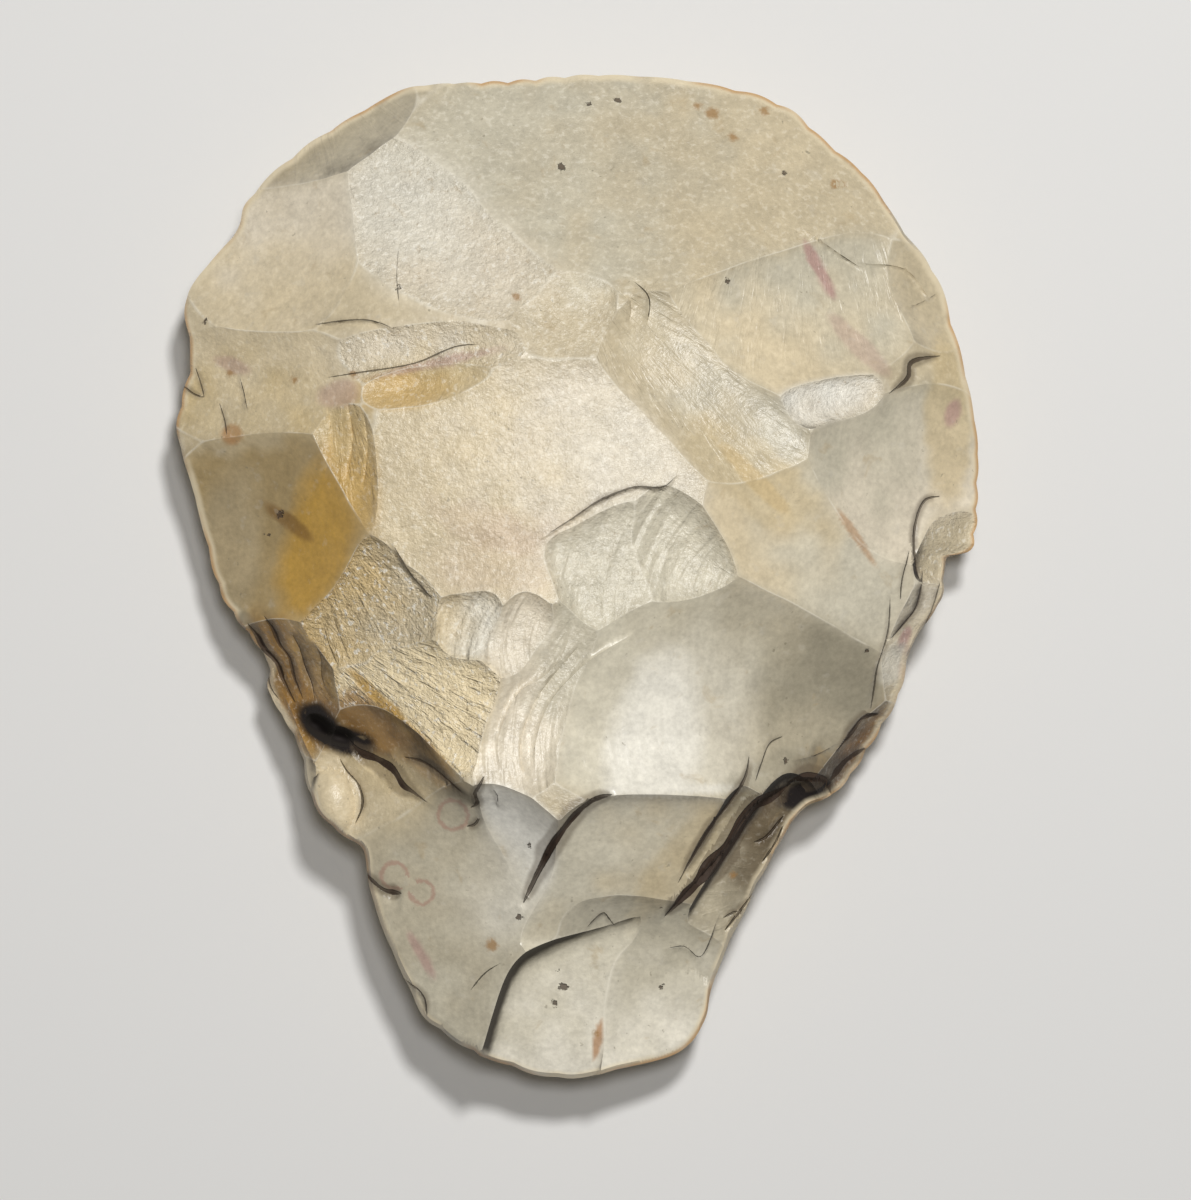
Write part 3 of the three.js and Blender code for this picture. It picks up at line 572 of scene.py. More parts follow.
def slide_onto_lines(x, y, stack, creases):
    """Slide grid points along the grid's own lines to where a ridge or a crease crosses them."""
    along = (np.s_[:-1, :], np.s_[1:, :]), (np.s_[:, :-1], np.s_[:, 1:])
    for _ in range(SLIDES):
        heights = stack(x, y)
        which = heights.argmin(0)
        sides = [crease_side(c, x, y) for c in creases]
        nearest = np.full(x.shape, 0.5)
        slide_x, slide_y = np.zeros(x.shape), np.zeros(x.shape)
        for here, there in along:
            mine, other = which[here], which[there]
            gaps = [np.take_along_axis(heights[(slice(None), *at)], mine[None], 0)[0]
                    - np.take_along_axis(heights[(slice(None), *at)], other[None], 0)[0]
                    for at in (here, there)]
            change = np.where(mine != other, gaps[0] - gaps[1], 1)
            crossing = np.where(mine != other, gaps[0] / change, np.nan)
            for side in sides:
                before, after = side[here], side[there]
                crossing = np.where(before * after < 0, before / (before - after), crossing)
            for mover, target, share in ((here, there, crossing), (there, here, 1 - crossing)):
                closer = share < nearest[mover]
                nearest[mover] = np.where(closer, share, nearest[mover])
                slide_x[mover] = np.where(closer, share * (x[target] - x[mover]), slide_x[mover])
                slide_y[mover] = np.where(closer, share * (y[target] - y[mover]), slide_y[mover])
        inside = np.zeros(x.shape, bool)
        inside[2:-2, 2:-2] = True
        x, y = np.where(inside, x + slide_x, x), np.where(inside, y + slide_y, y)
    return x, y


CHIPS = 46
CHIP_DEPTH = 0.55
CHIP_LENGTH = 2.6


def edge_chips(x, y):
    """Short flutes struck in from the edge: a sine's height between cusps, dying out inwards."""
    angle = np.arctan2(y - CENTRE[1], x - CENTRE[0])
    wander = 1.7 * np.sin(2 * angle + 0.6) + 1.1 * np.sin(9 * angle + 2) + 0.6 * np.sin(17 * angle)
    flute = np.abs(np.sin(CHIPS * angle / 2 + wander))
    uneven = np.clip(0.5 + 0.9 * np.sin(4 * angle + 0.8) * np.sin(7 * angle + 1.9), 0.05, 1.4)
    return -CHIP_DEPTH * flute * uneven * np.exp(-(inset(x, y) / CHIP_LENGTH) ** 2)


FACE_CELLS = 268
BACK_CELLS = FACE_CELLS // 2
crumbling = np.array([TRACES[s.name].crumble for s in FACE_SCARS] + [PLAIN.crumble])


def worked_face(x, y):
    """The ground of the scars with crumbs, creases and edge flutes on it; also the gap to the
    next scar up."""
    heights = face_stack(x, y)
    which = heights.argmin(0)
    ground, following = np.partition(heights, 1, 0)[:2]
    crumbs = 0.07 * crumple(x, y, 1.5, 3) + 0.07 * crumple(x, y, 0.75, 4)
    top = ground + crumbling[which] * crumbs + 0.012 * crumple(x, y, 0.8, 5)
    top += crease_relief(x, y) + edge_chips(x, y)
    return np.maximum(top, knob_height(x, y)), following - ground


def between_faces(x, y, top):
    """The worked face, the hidden face and the edge line; both faces are bevelled at the edge."""
    heights = back_stack(x, y)
    hidden = heights.min(0) + 0.03 * crumple(x, y, 1.6, 6) * (heights.argmin(0) < len(BACK_SCARS))
    bottom = np.minimum(-hidden, top - THINNEST)
    edge = bottom + EDGE_LEVEL * (top - bottom)
    bevel = EDGE_SLOPE * inset(x, y)
    return np.minimum(top, edge + bevel), np.maximum(bottom, edge - bevel), edge


face_x, face_y = slide_onto_lines(*plan_grid(FACE_CELLS), face_stack, CREASES)
back_x, back_y = slide_onto_lines(*plan_grid(BACK_CELLS), back_stack, [])

face_top, face_gap = worked_face(face_x, face_y)
face_z, _, edge_z = between_faces(face_x, face_y, face_top)
_, back_z, _ = between_faces(back_x, back_y, worked_face(back_x, back_y)[0])
back_heights = np.partition(back_stack(back_x, back_y), 1, 0)


def on_border(shape):
    border = np.zeros(shape, bool)
    border[[0, -1], :] = True
    border[:, [0, -1]] = True
    return border


face_border = on_border(face_z.shape)
back_border = on_border(back_z.shape)
face_z = np.where(face_border, edge_z, face_z)

face_number = np.arange(face_z.size).reshape(face_z.shape)
back_number = np.zeros(back_z.shape, int)
back_number[~back_border] = face_z.size + np.arange(np.count_nonzero(~back_border))
back_number[back_border] = face_number[::2, ::2][back_border]


def split_cells(number, z, z_middle):
    """Two triangles a cell, cut along the diagonal that keeps closer to the height at its middle,
    and always towards the grid's centre where the rings turn a corner."""
    a, b, c, d = number[:-1, :-1], number[1:, :-1], number[1:, 1:], number[:-1, 1:]
    miss_ac = np.abs(z_middle - (z[:-1, :-1] + z[1:, 1:]) / 2)
    miss_bd = np.abs(z_middle - (z[1:, :-1] + z[:-1, 1:]) / 2)
    first = miss_ac <= miss_bd
    step = np.arange(len(first))
    first[step, step] = True
    first[step, step[::-1]] = False
    one = np.where(first[..., None], np.stack([a, b, c], -1), np.stack([a, b, d], -1))
    two = np.where(first[..., None], np.stack([a, c, d], -1), np.stack([b, c, d], -1))
    return one, two


def cell_middle(grid):
    return (grid[:-1, :-1] + grid[1:, :-1] + grid[1:, 1:] + grid[:-1, 1:]) / 4


middle_x, middle_y = cell_middle(face_x), cell_middle(face_y)
middle_z = between_faces(middle_x, middle_y, worked_face(middle_x, middle_y)[0])[0]
face_halves = split_cells(face_number, face_z, middle_z)
face_triangles = np.concatenate([half.reshape(-1, 3) for half in face_halves])

middle_z = -back_stack(cell_middle(back_x), cell_middle(back_y)).min(0)
one, two = split_cells(back_number, back_z, middle_z)
inner = np.zeros(one.shape[:2], bool)
inner[1:-1, 1:-1] = True
back_triangles = [one[inner][:, ::-1], two[inner][:, ::-1]]

# The hidden face's outer cells fan from an inner corner to the worked face's finer edge points
border_cells = []
for i in range(BACK_CELLS):
    for j in range(BACK_CELLS):
        if 0 < i < BACK_CELLS - 1 and 0 < j < BACK_CELLS - 1:
            continue
        cell = [(i, j), (i, j + 1), (i + 1, j + 1), (i + 1, j)]
        start = next(k for k, (p, q) in enumerate(cell) if not back_border[p, q])
        ring = []
        for k in range(4):
            (p, q), (r, s) = cell[(start + k) % 4], cell[(start + k + 1) % 4]
            ring.append(back_number[p, q])
            if back_border[p, q] and back_border[r, s]:
                ring.append(face_number[p + r, q + s])
        border_cells += [(ring[0], ring[k], ring[k + 1]) for k in range(1, len(ring) - 1)]
back_triangles.append(np.array(border_cells))
back_triangles = np.concatenate(back_triangles)
triangles = np.concatenate([face_triangles, back_triangles])

x = np.concatenate([face_x.ravel(), back_x[~back_border]])
y = np.concatenate([face_y.ravel(), back_y[~back_border]])
z = np.concatenate([face_z.ravel(), back_z[~back_border]])
box_x, box_y = (x.min() + x.max()) / 2, (y.min() + y.max()) / 2
points = np.stack([(x - box_x) * SQUARE_X, (y - box_y) * SQUARE_Y, z + REST_DEPTH], -1) / 1000

stone_mesh = bpy.data.meshes.new("flaked_surface")
stone_mesh.from_pydata(points.tolist(), [], triangles.tolist())
stone_mesh.update()
stone_mesh.shade_smooth()
stone = bpy.data.objects.new("flaked_surface", stone_mesh)
bpy.context.scene.collection.objects.link(stone)
print("stone", len(points), "points", len(triangles), "triangles")

plan = np.stack([x, y], -1)
face_corners, back_corners = plan[face_triangles], plan[back_triangles]
cracks = np.concatenate([crack_lines(face_corners, [c for c in CREASES if c.dark]),
                         crack_lines(back_corners, [])])


def scar_under(stack, corners):
    """Number of the scar that each triangle's middle lies in."""
    middle = corners.mean(1)
    return stack(middle[:, 0], middle[:, 1]).argmin(0)


def mark_ridges(mesh, labels, banks):
    """Keep every edge sharp whose two triangles have unlike labels, or lie on unlike banks of a
    crease, 1 and 2."""
    edges = np.empty(len(mesh.loops), np.int32)
    mesh.loops.foreach_get("edge_index", edges)
    order = np.argsort(edges, kind="stable")
    label_pairs = np.repeat(labels, 3)[order].reshape(-1, 2)
    bank_pairs = np.repeat(banks, 3)[order].reshape(-1, 2)
    unlike = (label_pairs[:, 0] != label_pairs[:, 1]) | (bank_pairs.prod(1) == 2)
    mesh.attributes.new("sharp_edge", "BOOLEAN", "EDGE").data.foreach_set("value", unlike)


# Edges stay sharp where two scars meet, along creases, and round the knob and the last bevel
KNOB_LABEL, BEVEL_LABEL, BACK_LABEL = 200, 300, 400
BANK_WIDE = 0.9
face_scar, back_scar = scar_under(face_stack, face_corners), scar_under(back_stack, back_corners)
middle_x, middle_y = face_corners.mean(1).T
middle_top = worked_face(middle_x, middle_y)[0]
face_label = np.where(knob_height(middle_x, middle_y) >= middle_top, KNOB_LABEL, face_scar)
bevelled = between_faces(middle_x, middle_y, middle_top)[0] < middle_top
face_label = np.where(bevelled, BEVEL_LABEL, face_label)
beside_crease = crack_lines(face_corners, CREASES)[..., 0]
at_crease = np.abs(beside_crease).max(1) < BANK_WIDE
face_bank = at_crease * np.where(beside_crease.mean(1) > 0, 1, 2)
mark_ridges(stone_mesh, np.concatenate([face_label, back_scar + BACK_LABEL]),
            np.concatenate([face_bank, 0 * back_scar]))


def store(mesh, name, kind, domain, values):
    """Keep an array as a named attribute of the mesh for the finish to read."""
    field = {"FLOAT": "value", "FLOAT_VECTOR": "vector", "FLOAT_COLOR": "color"}[kind]
    attribute = mesh.attributes.new(name, kind, domain)
    attribute.data.foreach_set(field, np.ascontiguousarray(values, dtype=np.float32).ravel())


# Steps of the noise between one scar and the next
NUMBER_STEP = 0.7


def blow_marks(which, scars, corners):
    """For each corner how far it is from the blow, where it is in the fan about it, and a number
    of its scar; then how strong ripples, hackles and crumbs are."""
    traces = [TRACES.get(s.name, PLAIN) for s in scars] + [PLAIN]
    behind = [(s.x - 2 * s.aft * math.cos(s.turn), s.y - 2 * s.aft * math.sin(s.turn)) for s in scars]
    strikes = [t.strike or place for t, place in zip(traces, behind + [CENTRE])]
    strike = np.array(strikes)[which][:, None]
    centre = np.array([(s.x, s.y) for s in scars] + [(CENTRE[0], CENTRE[1] + 1)])[which][:, None]
    away, spine = (corners - strike) * SQUARE, (centre - strike) * SQUARE
    far = np.hypot(away[..., 0], away[..., 1])
    turned = away[..., 1] * spine[..., 0] - away[..., 0] * spine[..., 1]
    fan = np.arctan2(turned, (away * spine).sum(-1)) * np.hypot(spine[..., 0], spine[..., 1])
    number = np.full(far.shape, NUMBER_STEP) * which[:, None]
    strengths = np.array([(t.ripples, t.hackles, t.crumble) for t in traces])[which]
    return np.stack([far, fan, number], -1), np.repeat(strengths[:, None], 3, 1)


face_struck, face_flaking = blow_marks(face_scar, FACE_SCARS, face_corners)
back_struck, back_flaking = blow_marks(back_scar, BACK_SCARS, back_corners)
store(stone_mesh, "struck", "FLOAT_VECTOR", "CORNER", np.concatenate([face_struck, back_struck]))
store(stone_mesh, "flaking", "FLOAT_VECTOR", "CORNER", np.concatenate([face_flaking, back_flaking]))
store(stone_mesh, "crack_and_shadow_line", "FLOAT_VECTOR", "CORNER", cracks)

gap = np.concatenate([face_gap.ravel(), (back_heights[1] - back_heights[0])[~back_border]])
store(stone_mesh, "margin", "FLOAT_VECTOR", "POINT", np.stack([gap, inset(x, y), 0 * gap], -1))

# Round marks by kind: plan centre and radius in squares
SPOTS = {
    "pit": [
        (38.4, 90.8, 0.6), (48.2, 92.8, 0.25), (44.0, 97.8, 0.35), (41.0, 97.5, 0.3),
        (60.5, 90.3, 0.3), (2.7, 75.6, 0.45), (22.5, 78.4, 0.35), (10.5, 56.3, 0.5), (9.2, 54.3, 0.35),
        (38.6, 9.3, 0.45), (37.6, 7.5, 0.4), (38.1, 10.9, 0.3), (35.2, 23.7, 0.25), (34.3, 16.5, 0.4),
        (48.2, 17.1, 0.3), (48.3, 9.1, 0.25), (68.7, 42.8, 0.3), (60.6, 31.8, 0.25), (54.7, 79.2, 0.3),
    ],
    "rust": [
        (53.4, 96.5, 0.8), (58.7, 96.8, 0.6), (65.6, 89.3, 0.6), (66.4, 89.3, 0.4), (34.0, 77.5, 0.5),
        (31.5, 13.6, 0.8), (55.5, 20.3, 0.45), (52.0, 97.2, 0.5), (55.5, 94.0, 0.6), (5.4, 70.4, 0.5),
        (41.8, 4.6, 0.5), (12.0, 69.6, 0.4), (18.0, 70.0, 0.5),
    ],
    "ring": [(24.5, 18.8, 1.6), (27.7, 26.6, 2.0), (21.8, 20.4, 1.8)],
}
KIND_NUMBER = {"pit": 0, "rust": 1, "ring": 2}
SPOT_REACH = 2.5


def spot_marks(corners, kinds):
    """For each triangle the round mark whose rim is nearest its middle: the corners' offset from
    its centre and its radius, in mm, and the number of its kind."""
    middle = corners.mean(1)
    nearest = np.full(len(corners), FAR_AWAY)
    offset, number = np.full((len(corners), 3, 3), FAR_AWAY), np.zeros((len(corners), 3))
    for kind, spots in kinds.items():
        for at_x, at_y, radius in spots:
            away = np.abs(np.hypot(middle[:, 0] - at_x, middle[:, 1] - at_y) - radius)
            own = away < np.minimum(nearest, SPOT_REACH)
            nearest[own] = away[own]
            offset[own, :, :2] = (corners[own] - (at_x, at_y)) * SQUARE
            offset[own, :, 2] = radius * SQUARE_X
            number[own] = KIND_NUMBER[kind]
    return offset, number


face_offset, face_kind = spot_marks(face_corners, SPOTS)
back_offset, back_kind = spot_marks(back_corners, {})
store(stone_mesh, "spot", "FLOAT_VECTOR", "CORNER", np.concatenate([face_offset, back_offset]))
store(stone_mesh, "spot_kind", "FLOAT", "CORNER", np.concatenate([face_kind, back_kind]))


def paint(red, green, blue):
    """Linear light of a screen colour: the share of 255 to the power 2.2."""
    return np.array([red, green, blue]) ** 2.2 / 255 ** 2.2


# Tones of the stone, from fresh white to the browns of its hollows, with a near black that paints shadow
# and a dark grey-brown that paints shade
TONES = {
    "chalk": paint(242, 238, 226), "white": paint(228, 221, 203), "cream": paint(223, 211, 188),
    "pearl": paint(212, 204, 182), "buff": paint(219, 202, 168), "ash": paint(198, 190, 168),
    "sand": paint(202, 187, 156), "tan": paint(207, 185, 140), "grey": paint(186, 175, 150),
    "dun": paint(170, 155, 126), "drab": paint(170, 148, 107), "slate": paint(150, 143, 124),
    "shade_dark": paint(112, 99, 78), "gold": paint(214, 187, 136), "ochre": paint(194, 153, 74),
    "honey": paint(246, 226, 184), "bronze": paint(156, 118, 66), "umber": paint(124, 92, 50),
    "brown": paint(122, 82, 40), "shadow_black": paint(26, 16, 10), "rose": paint(182, 148, 138),
    "rust": paint(170, 112, 50),
}
# Stains, and patches of painted highlight, shade and shadow, over the tones: plan centre, turn,
# half length, half width, tone, strength. A broad one keeps to the scar at its centre; a small one runs
# over the ridges.
BROAD = 3.5
STAINS_AND_PAINTED_LIGHT = [
    # upper half
    (44, 92, 0, 12, 4, "grey", 0.3), (66, 86, -40, 9, 4, "sand", 0.5),
    # hollow and folds left of the plateau
    (22.5, 68.4, 8, 5, 2.0, "ochre", 0.35), (20, 60, -80, 9, 4.5, "gold", 0.5),
    # plateau and the facet beside it; the white over the plateau is partly its pale tone and partly
    # painted sheen
    (34, 52, 10, 8, 4, "rose", 0.15), (46, 61, 0, 8, 8, "white", 0.3), (57, 60, -35, 9, 3, "tan", 0.4),
    # big bowl: grey at its top and right, partly its own grey and partly painted shade; its pale patches
    # and the pale line on its lower crest are painted highlight
    (52.5, 41.5, 30, 9, 5, "ash", 0.4), (47.5, 33, 78, 9, 4.4, "chalk", 0.95),
    (49.5, 29.3, 0, 6.5, 0.5, "chalk", 0.8), (50, 34, 70, 11, 7, "white", 0.5),
    (66, 38, -10, 8, 8, "slate", 0.7), (63, 33, 0, 4.5, 4.5, "grey", 0.6),
    # left bowl and the edge above it
    (14.6, 53.2, 75, 9.5, 3.7, "ochre", 0.95), (11.2, 55.6, -36, 3.4, 0.8, "umber", 0.7),
    (4.5, 52, 78, 9, 3.6, "grey", 0.35), (6, 65, 0, 5, 3, "sand", 0.5),
    # folds of the waist and the ledge
    (12.6, 38.4, -62, 4.0, 2.6, "bronze", 0.7), (7.4, 43.0, -62, 4.5, 1.6, "slate", 0.7),
    (13.0, 42.5, -70, 4.5, 1.4, "gold", 0.5), (25.5, 31, -35, 5, 2, "dun", 0.5),
    (20.0, 35.4, -36, 4.6, 2.4, "bronze", 0.9), (11.2, 41.0, -62, 6.0, 3.4, "bronze", 0.45),
    (22.6, 35.9, -44, 7.0, 0.6, "ochre", 0.8), (24.5, 32.6, -42, 5.0, 1.4, "bronze", 0.5),
    # notch: a brown ring and black within it, painted shadow in the hollow
    (15.8, 35.0, -25, 4.2, 2.2, "umber", 0.7), (14.4, 35.5, -38, 3.1, 1.6, "shadow_black", 1.0),
    (17.1, 33.8, -16, 2.6, 1.4, "shadow_black", 1.0),
    # tang
    (30, 23, 60, 7, 5, "ash", 0.4), (50, 22, 54, 7, 2, "tan", 0.3),
    # right flank and its rift: painted shade, and painted shadow, black, in the rift
    (60, 29.5, 20, 6, 3, "slate", 0.5), (61.0, 25.4, 58, 8, 3.4, "shade_dark", 0.85),
    (62.6, 28.6, 20, 2.6, 1.5, "shadow_black", 1.0), (64.6, 28.9, -40, 1.6, 0.8, "shadow_black", 0.9),
    # right margin
    (72.6, 43.8, 70, 1.4, 0.6, "rose", 0.9), (71.4, 41.2, 60, 2.2, 1.6, "white", 0.8),
    (77, 66, 90, 9, 2.5, "tan", 0.6),
    # knob
    (16.0, 28, -76, 4.2, 2.6, "buff", 0.9),
    # rose, rust and gold marks
    (16.5, 68, 0, 2.2, 1.4, "rose", 0.5), (5.7, 64.2, 0, 1.0, 1.0, "rust", 0.6),
    (5.6, 71.2, -20, 2.0, 0.8, "rose", 0.5), (64, 80.4, -62, 3.2, 0.6, "rose", 0.9),
    (68, 73, -45, 4, 1.0, "rose", 0.4), (77.4, 66.3, 70, 1.4, 0.8, "rose", 0.8),
    (26, 71.0, 12, 6, 0.5, "rose", 0.6), (24.4, 12.6, -60, 2.6, 0.6, "rose", 0.7),
    (42, 4, 80, 1.8, 0.4, "rust", 0.7), (73.5, 42.5, 66, 3, 0.9, "rose", 0.6),
    (67.5, 54, -55, 3.5, 0.4, "rust", 0.5), (31, 55, -20, 6, 2, "rose", 0.15),
    (57.0, 60.0, -45, 5, 0.8, "gold", 0.6),
]
TONE_BLEND = 0.35


def tones_of(stack, scars, x, y):
    """Each scar's first tone, running over into the second along its way. Close to a ridge the
    tones of both sides mix, each by how near its scar comes to being the lowest."""
    traces = [TRACES.get(s.name, PLAIN) for s in scars] + [PLAIN]
    heights = stack(x, y)
    shares = np.exp((heights.min(0) - heights) / TONE_BLEND)
    shares /= shares.sum(0)
    colour = np.zeros(x.shape + (3,))
    blur = 0.3 * crumple(x, y, 2.5, 11)
    for number, (share, t) in enumerate(zip(shares, traces)):
        s = scars[min(number, len(scars) - 1)]
        span = 0.35 * (s.fore + s.aft + s.left + s.right) / 2
        along = ((x - s.x) * math.cos(t.towards) + (y - s.y) * math.sin(t.towards)) / span
        over = np.clip(0.5 + 0.5 * along + blur, 0, 1)
        over = (over * over * (3 - 2 * over))[..., None]
        colour += share[..., None] * (TONES[t.tone] * (1 - over) + TONES[t.other] * over)
    return colour, shares


patina_and_painted_light, shares = tones_of(face_stack, FACE_SCARS, face_x, face_y)
blur = 0.35 * crumple(face_x, face_y, 2.5, 12) + 0.25 * crumple(face_x, face_y, 1.1, 13)
for at_x, at_y, stain_turn, half_long, half_wide, tone, strength in STAINS_AND_PAINTED_LIGHT:
    dx, dy, away = face_x - at_x, face_y - at_y, math.radians(stain_turn)
    along = (dx * math.cos(away) + dy * math.sin(away)) / half_long
    across = (dy * math.cos(away) - dx * math.sin(away)) / half_wide
    if half_wide > BROAD:
        home = face_stack(np.array([at_x]), np.array([at_y])).argmin(0)[0]
        cover = strength * np.clip(1.5 - along ** 2 - across ** 2 + 0.4 * blur, 0, 1) * shares[home]
    else:
        cover = np.clip(1.5 - along ** 2 - across ** 2 + blur, 0, 1)
        cover = strength * cover * cover * (3 - 2 * cover)
    patina_and_painted_light += (TONES[tone] - patina_and_painted_light) * cover[..., None]
back_patina = tones_of(back_stack, BACK_SCARS, back_x, back_y)[0]
patina_and_painted_light = np.concatenate([patina_and_painted_light.reshape(-1, 3), back_patina[~back_border]])
patina_and_painted_light = np.concatenate([patina_and_painted_light, np.ones((len(patina_and_painted_light), 1))], 1)
# the tones with their stains, painted highlight, painted shade and painted shadow, one colour a point
store(stone_mesh, "patina_and_painted_light", "FLOAT_COLOR", "POINT", patina_and_painted_light)

# How far each corner's ground faces up: the worked face's steep walls get painted shade
corner_normals = np.empty(len(stone_mesh.loops) * 3, np.float32)
stone_mesh.corner_normals.foreach_get("vector", corner_normals)
store(stone_mesh, "upward", "FLOAT", "CORNER", corner_normals.reshape(-1, 3)[:, 2])


class Value:
    """A number socket of a finish. + - * ** and abs() on it add Math nodes."""

    def __init__(self, finish, socket):
        self.finish = finish
        self.socket = socket

    def math(self, operation, *values):
        return self.finish.node("ShaderNodeMath", {"operation": operation}, dict(enumerate(values)))

    def __add__(self, other):
        return self.math("ADD", self, other)

    def __sub__(self, other):
        return self.math("SUBTRACT", self, other)

    def __rsub__(self, other):
        return self.math("SUBTRACT", other, self)

    def __abs__(self):
        return self.math("ABSOLUTE", self)

    def __mul__(self, other):
        return self.math("MULTIPLY", self, other)

    def __pow__(self, other):
        return self.math("POWER", self, other)

    __radd__ = __add__
    __rmul__ = __mul__


class StoneFinish:
    """One material's nodes. node() takes a type, its settings, and its sockets' values or links."""

    def __init__(self, name):
        self.material = bpy.data.materials.new(name)
        self.material.use_nodes = True
        self.tree = self.material.node_tree
        self.shader = self.tree.nodes["Principled BSDF"]

    def link(self, socket, value):
        if isinstance(value, Value):
            self.tree.links.new(value.socket, socket)
        else:
            socket.default_value = value

    def node(self, kind, settings=None, sockets=None, output=0):
        node = self.tree.nodes.new(kind)
        for key, value in (settings or {}).items():
            setattr(node, key, value)
        for key, value in (sockets or {}).items():
            self.link(node.inputs[key], value)
        return Value(self, node.outputs[output])

    def shader_input(self, name, value):
        self.link(self.shader.inputs[name], value)


# The finish: the tones clouded and mottled, dark grains and pale flecks, pits, rings and dark cracks;
# painted glints, highlight, shade and shadow; ripples about each blow, hackles fanning from it, crumbs
# and a fine grain.
chert = StoneFinish("pale_chert")
place = chert.node("ShaderNodeTexCoord", output="Object")


def traced(name, output="Vector"):
    return chert.node("ShaderNodeAttribute", {"attribute_name": name}, output=output)


def parts_of(vector):
    split = chert.node("ShaderNodeSeparateXYZ", sockets={"Vector": vector})
    return [Value(chert, split.socket.node.outputs[axis]) for axis in "XYZ"]


def noise(scale, detail=3.0, roughness=0.55, distortion=0.0, vector=place):
    """Noise from 0 to 1 with so many waves to a metre of stone."""
    return chert.node("ShaderNodeTexNoise", sockets={
        "Vector": vector, "Scale": scale, "Detail": detail, "Roughness": roughness,
        "Distortion": distortion}, output="Fac")


def within(value, low, high):
    """0 below low and 1 above high, with a smooth step between; reversed if high is below low."""
    return chert.node("ShaderNodeMapRange", {"interpolation_type": "SMOOTHSTEP"},
                      {"Value": value, "From Min": low, "From Max": high})


def tint(colour, other, cover, blend="MIX"):
    """Lay one colour on another by the cover: a Mix node's inputs 0, 6 and 7, and output 2."""
    return chert.node("ShaderNodeMix", {"data_type": "RGBA", "blend_type": blend},
                      {0: cover, 6: colour, 7: other}, output=2)


blow_distance, blow_fan, scar_number = parts_of(traced("struck"))
rippled, hackled, crumbled = parts_of(traced("flaking"))
crack_away, crack_width, _ = parts_of(traced("crack_and_shadow_line"))
ridge_gap, from_edge, _ = parts_of(traced("margin"))
spot_x, spot_y, spot_radius = parts_of(traced("spot"))
spot_kind = traced("spot_kind", "Fac")
upward = traced("upward", "Fac")
_, _, height = parts_of(place)

cloud = noise(70, 3)
mottle = noise(360, 4, 0.6)
grain = noise(1500, 3, 0.6)
outside_spot = (spot_x * spot_x + spot_y * spot_y) ** 0.5 - 0.75 * spot_radius
uneven_rim = noise(1400, 3, 0.7) - 0.45
pit = within(outside_spot + 1.8 * uneven_rim, 0.12, -0.12) * within(spot_kind, 0.6, 0.4)
rusty = within(outside_spot + 1.3 * uneven_rim, 0.35, -0.3) * within(abs(spot_kind - 1), 0.6, 0.4)
ring = within(abs(outside_spot + 0.9 * uneven_rim), 0.40, 0.05) * within(spot_kind, 1.4, 1.6)
# dark lines along creases: dirt in cracks, painted shadow at undercuts, wall feet and the flank's rift
crack_and_shadow_line = within(abs(crack_away) - crack_width + 0.12 * (grain - 0.5), 0.05, -0.05)
crack_and_shadow_line = crack_and_shadow_line * within(crack_width, 0.005, 0.03)
# painted shade on the ground beside the broader creases
shade_beside_creases = within(abs(crack_away) - 2.8 * crack_width, 0.5, -0.1) * within(crack_width, 0.02, 0.12)
# painted shade on the worked face's steep walls, darker the less they face up, none high up, less at the
# edge
steep = within(upward + 0.25 * (mottle - 0.5), 0.66, 0.30) * within(upward, -0.2, 0.1)
steep = steep * within(height, 0.0295, 0.0275) * (0.4 + 0.6 * within(from_edge, 0.4, 1.4))

shade = 0.40 + 0.25 * cloud + 0.45 * mottle + 0.50 * grain
shade_colour = chert.node("ShaderNodeCombineColor", sockets={"Red": shade, "Green": shade, "Blue": shade})
stone_colour = tint(traced("patina_and_painted_light", "Color"), shade_colour, 1.0, "MULTIPLY")
# where the tones are near black, which is painted shadow: kept dull and without glints
shadow_black_cover = within(traced("patina_and_painted_light", "Fac"), 0.10, 0.02)
COATS = [
    # pale clouds and dark specks
    ((0.70, 0.66, 0.57), within(noise(620, 3), 0.60, 0.72) * (0.15 - 0.15 * shadow_black_cover)),
    ((0.22, 0.19, 0.13), within(noise(1300, 2), 0.68, 0.76) * within(cloud, 0.40, 0.60) * 0.55),
    # painted glints and brown pits of rough scars
    ((0.92, 0.88, 0.78), within(noise(1500, 2), 0.56, 0.68) * crumbled * (0.7 - 0.7 * shadow_black_cover)),
    ((0.36, 0.25, 0.12), within(noise(1000, 3, 0.6), 0.40, 0.28) * crumbled * 0.6),
    # brown veins
    ((0.45, 0.33, 0.17), within(noise(260, 4, 0.6, 0.6), 0.62, 0.74) * 0.35),
    # painted highlight, warm and pale, along the margin, and the orange line on its rim
    ((0.84, 0.72, 0.50), within(from_edge, 1.1, 0.3) * within(noise(170, 2), 0.28, 0.46) * 0.85),
    ((0.56, 0.28, 0.07), within(from_edge, 0.6, 0.1) * within(cloud, 0.42, 0.58) * 0.7),
    # pale ridges: wear, and a painted highlight along them
    ((0.86, 0.80, 0.66), within(ridge_gap, 0.14, 0.0) * within(noise(200, 3), 0.38, 0.60)
     * (0.5 - 0.5 * shadow_black_cover)),
    # round marks
    ((0.44, 0.25, 0.19), ring * 0.6),
    ((0.36, 0.19, 0.06), rusty * 0.75),
    ((0.07, 0.04, 0.02), pit * 0.85),
    # painted shade beside creases and on steep walls, and dark lines in the creases: dirt in cracks,
    # painted shadow at undercuts, wall feet and rifts
    ((0.12, 0.085, 0.05), shade_beside_creases * 0.5),
    ((0.022, 0.015, 0.009), steep * 0.95),
    ((0.040, 0.021, 0.010), crack_and_shadow_line * (0.42 + 1.5 * crack_width)),
]
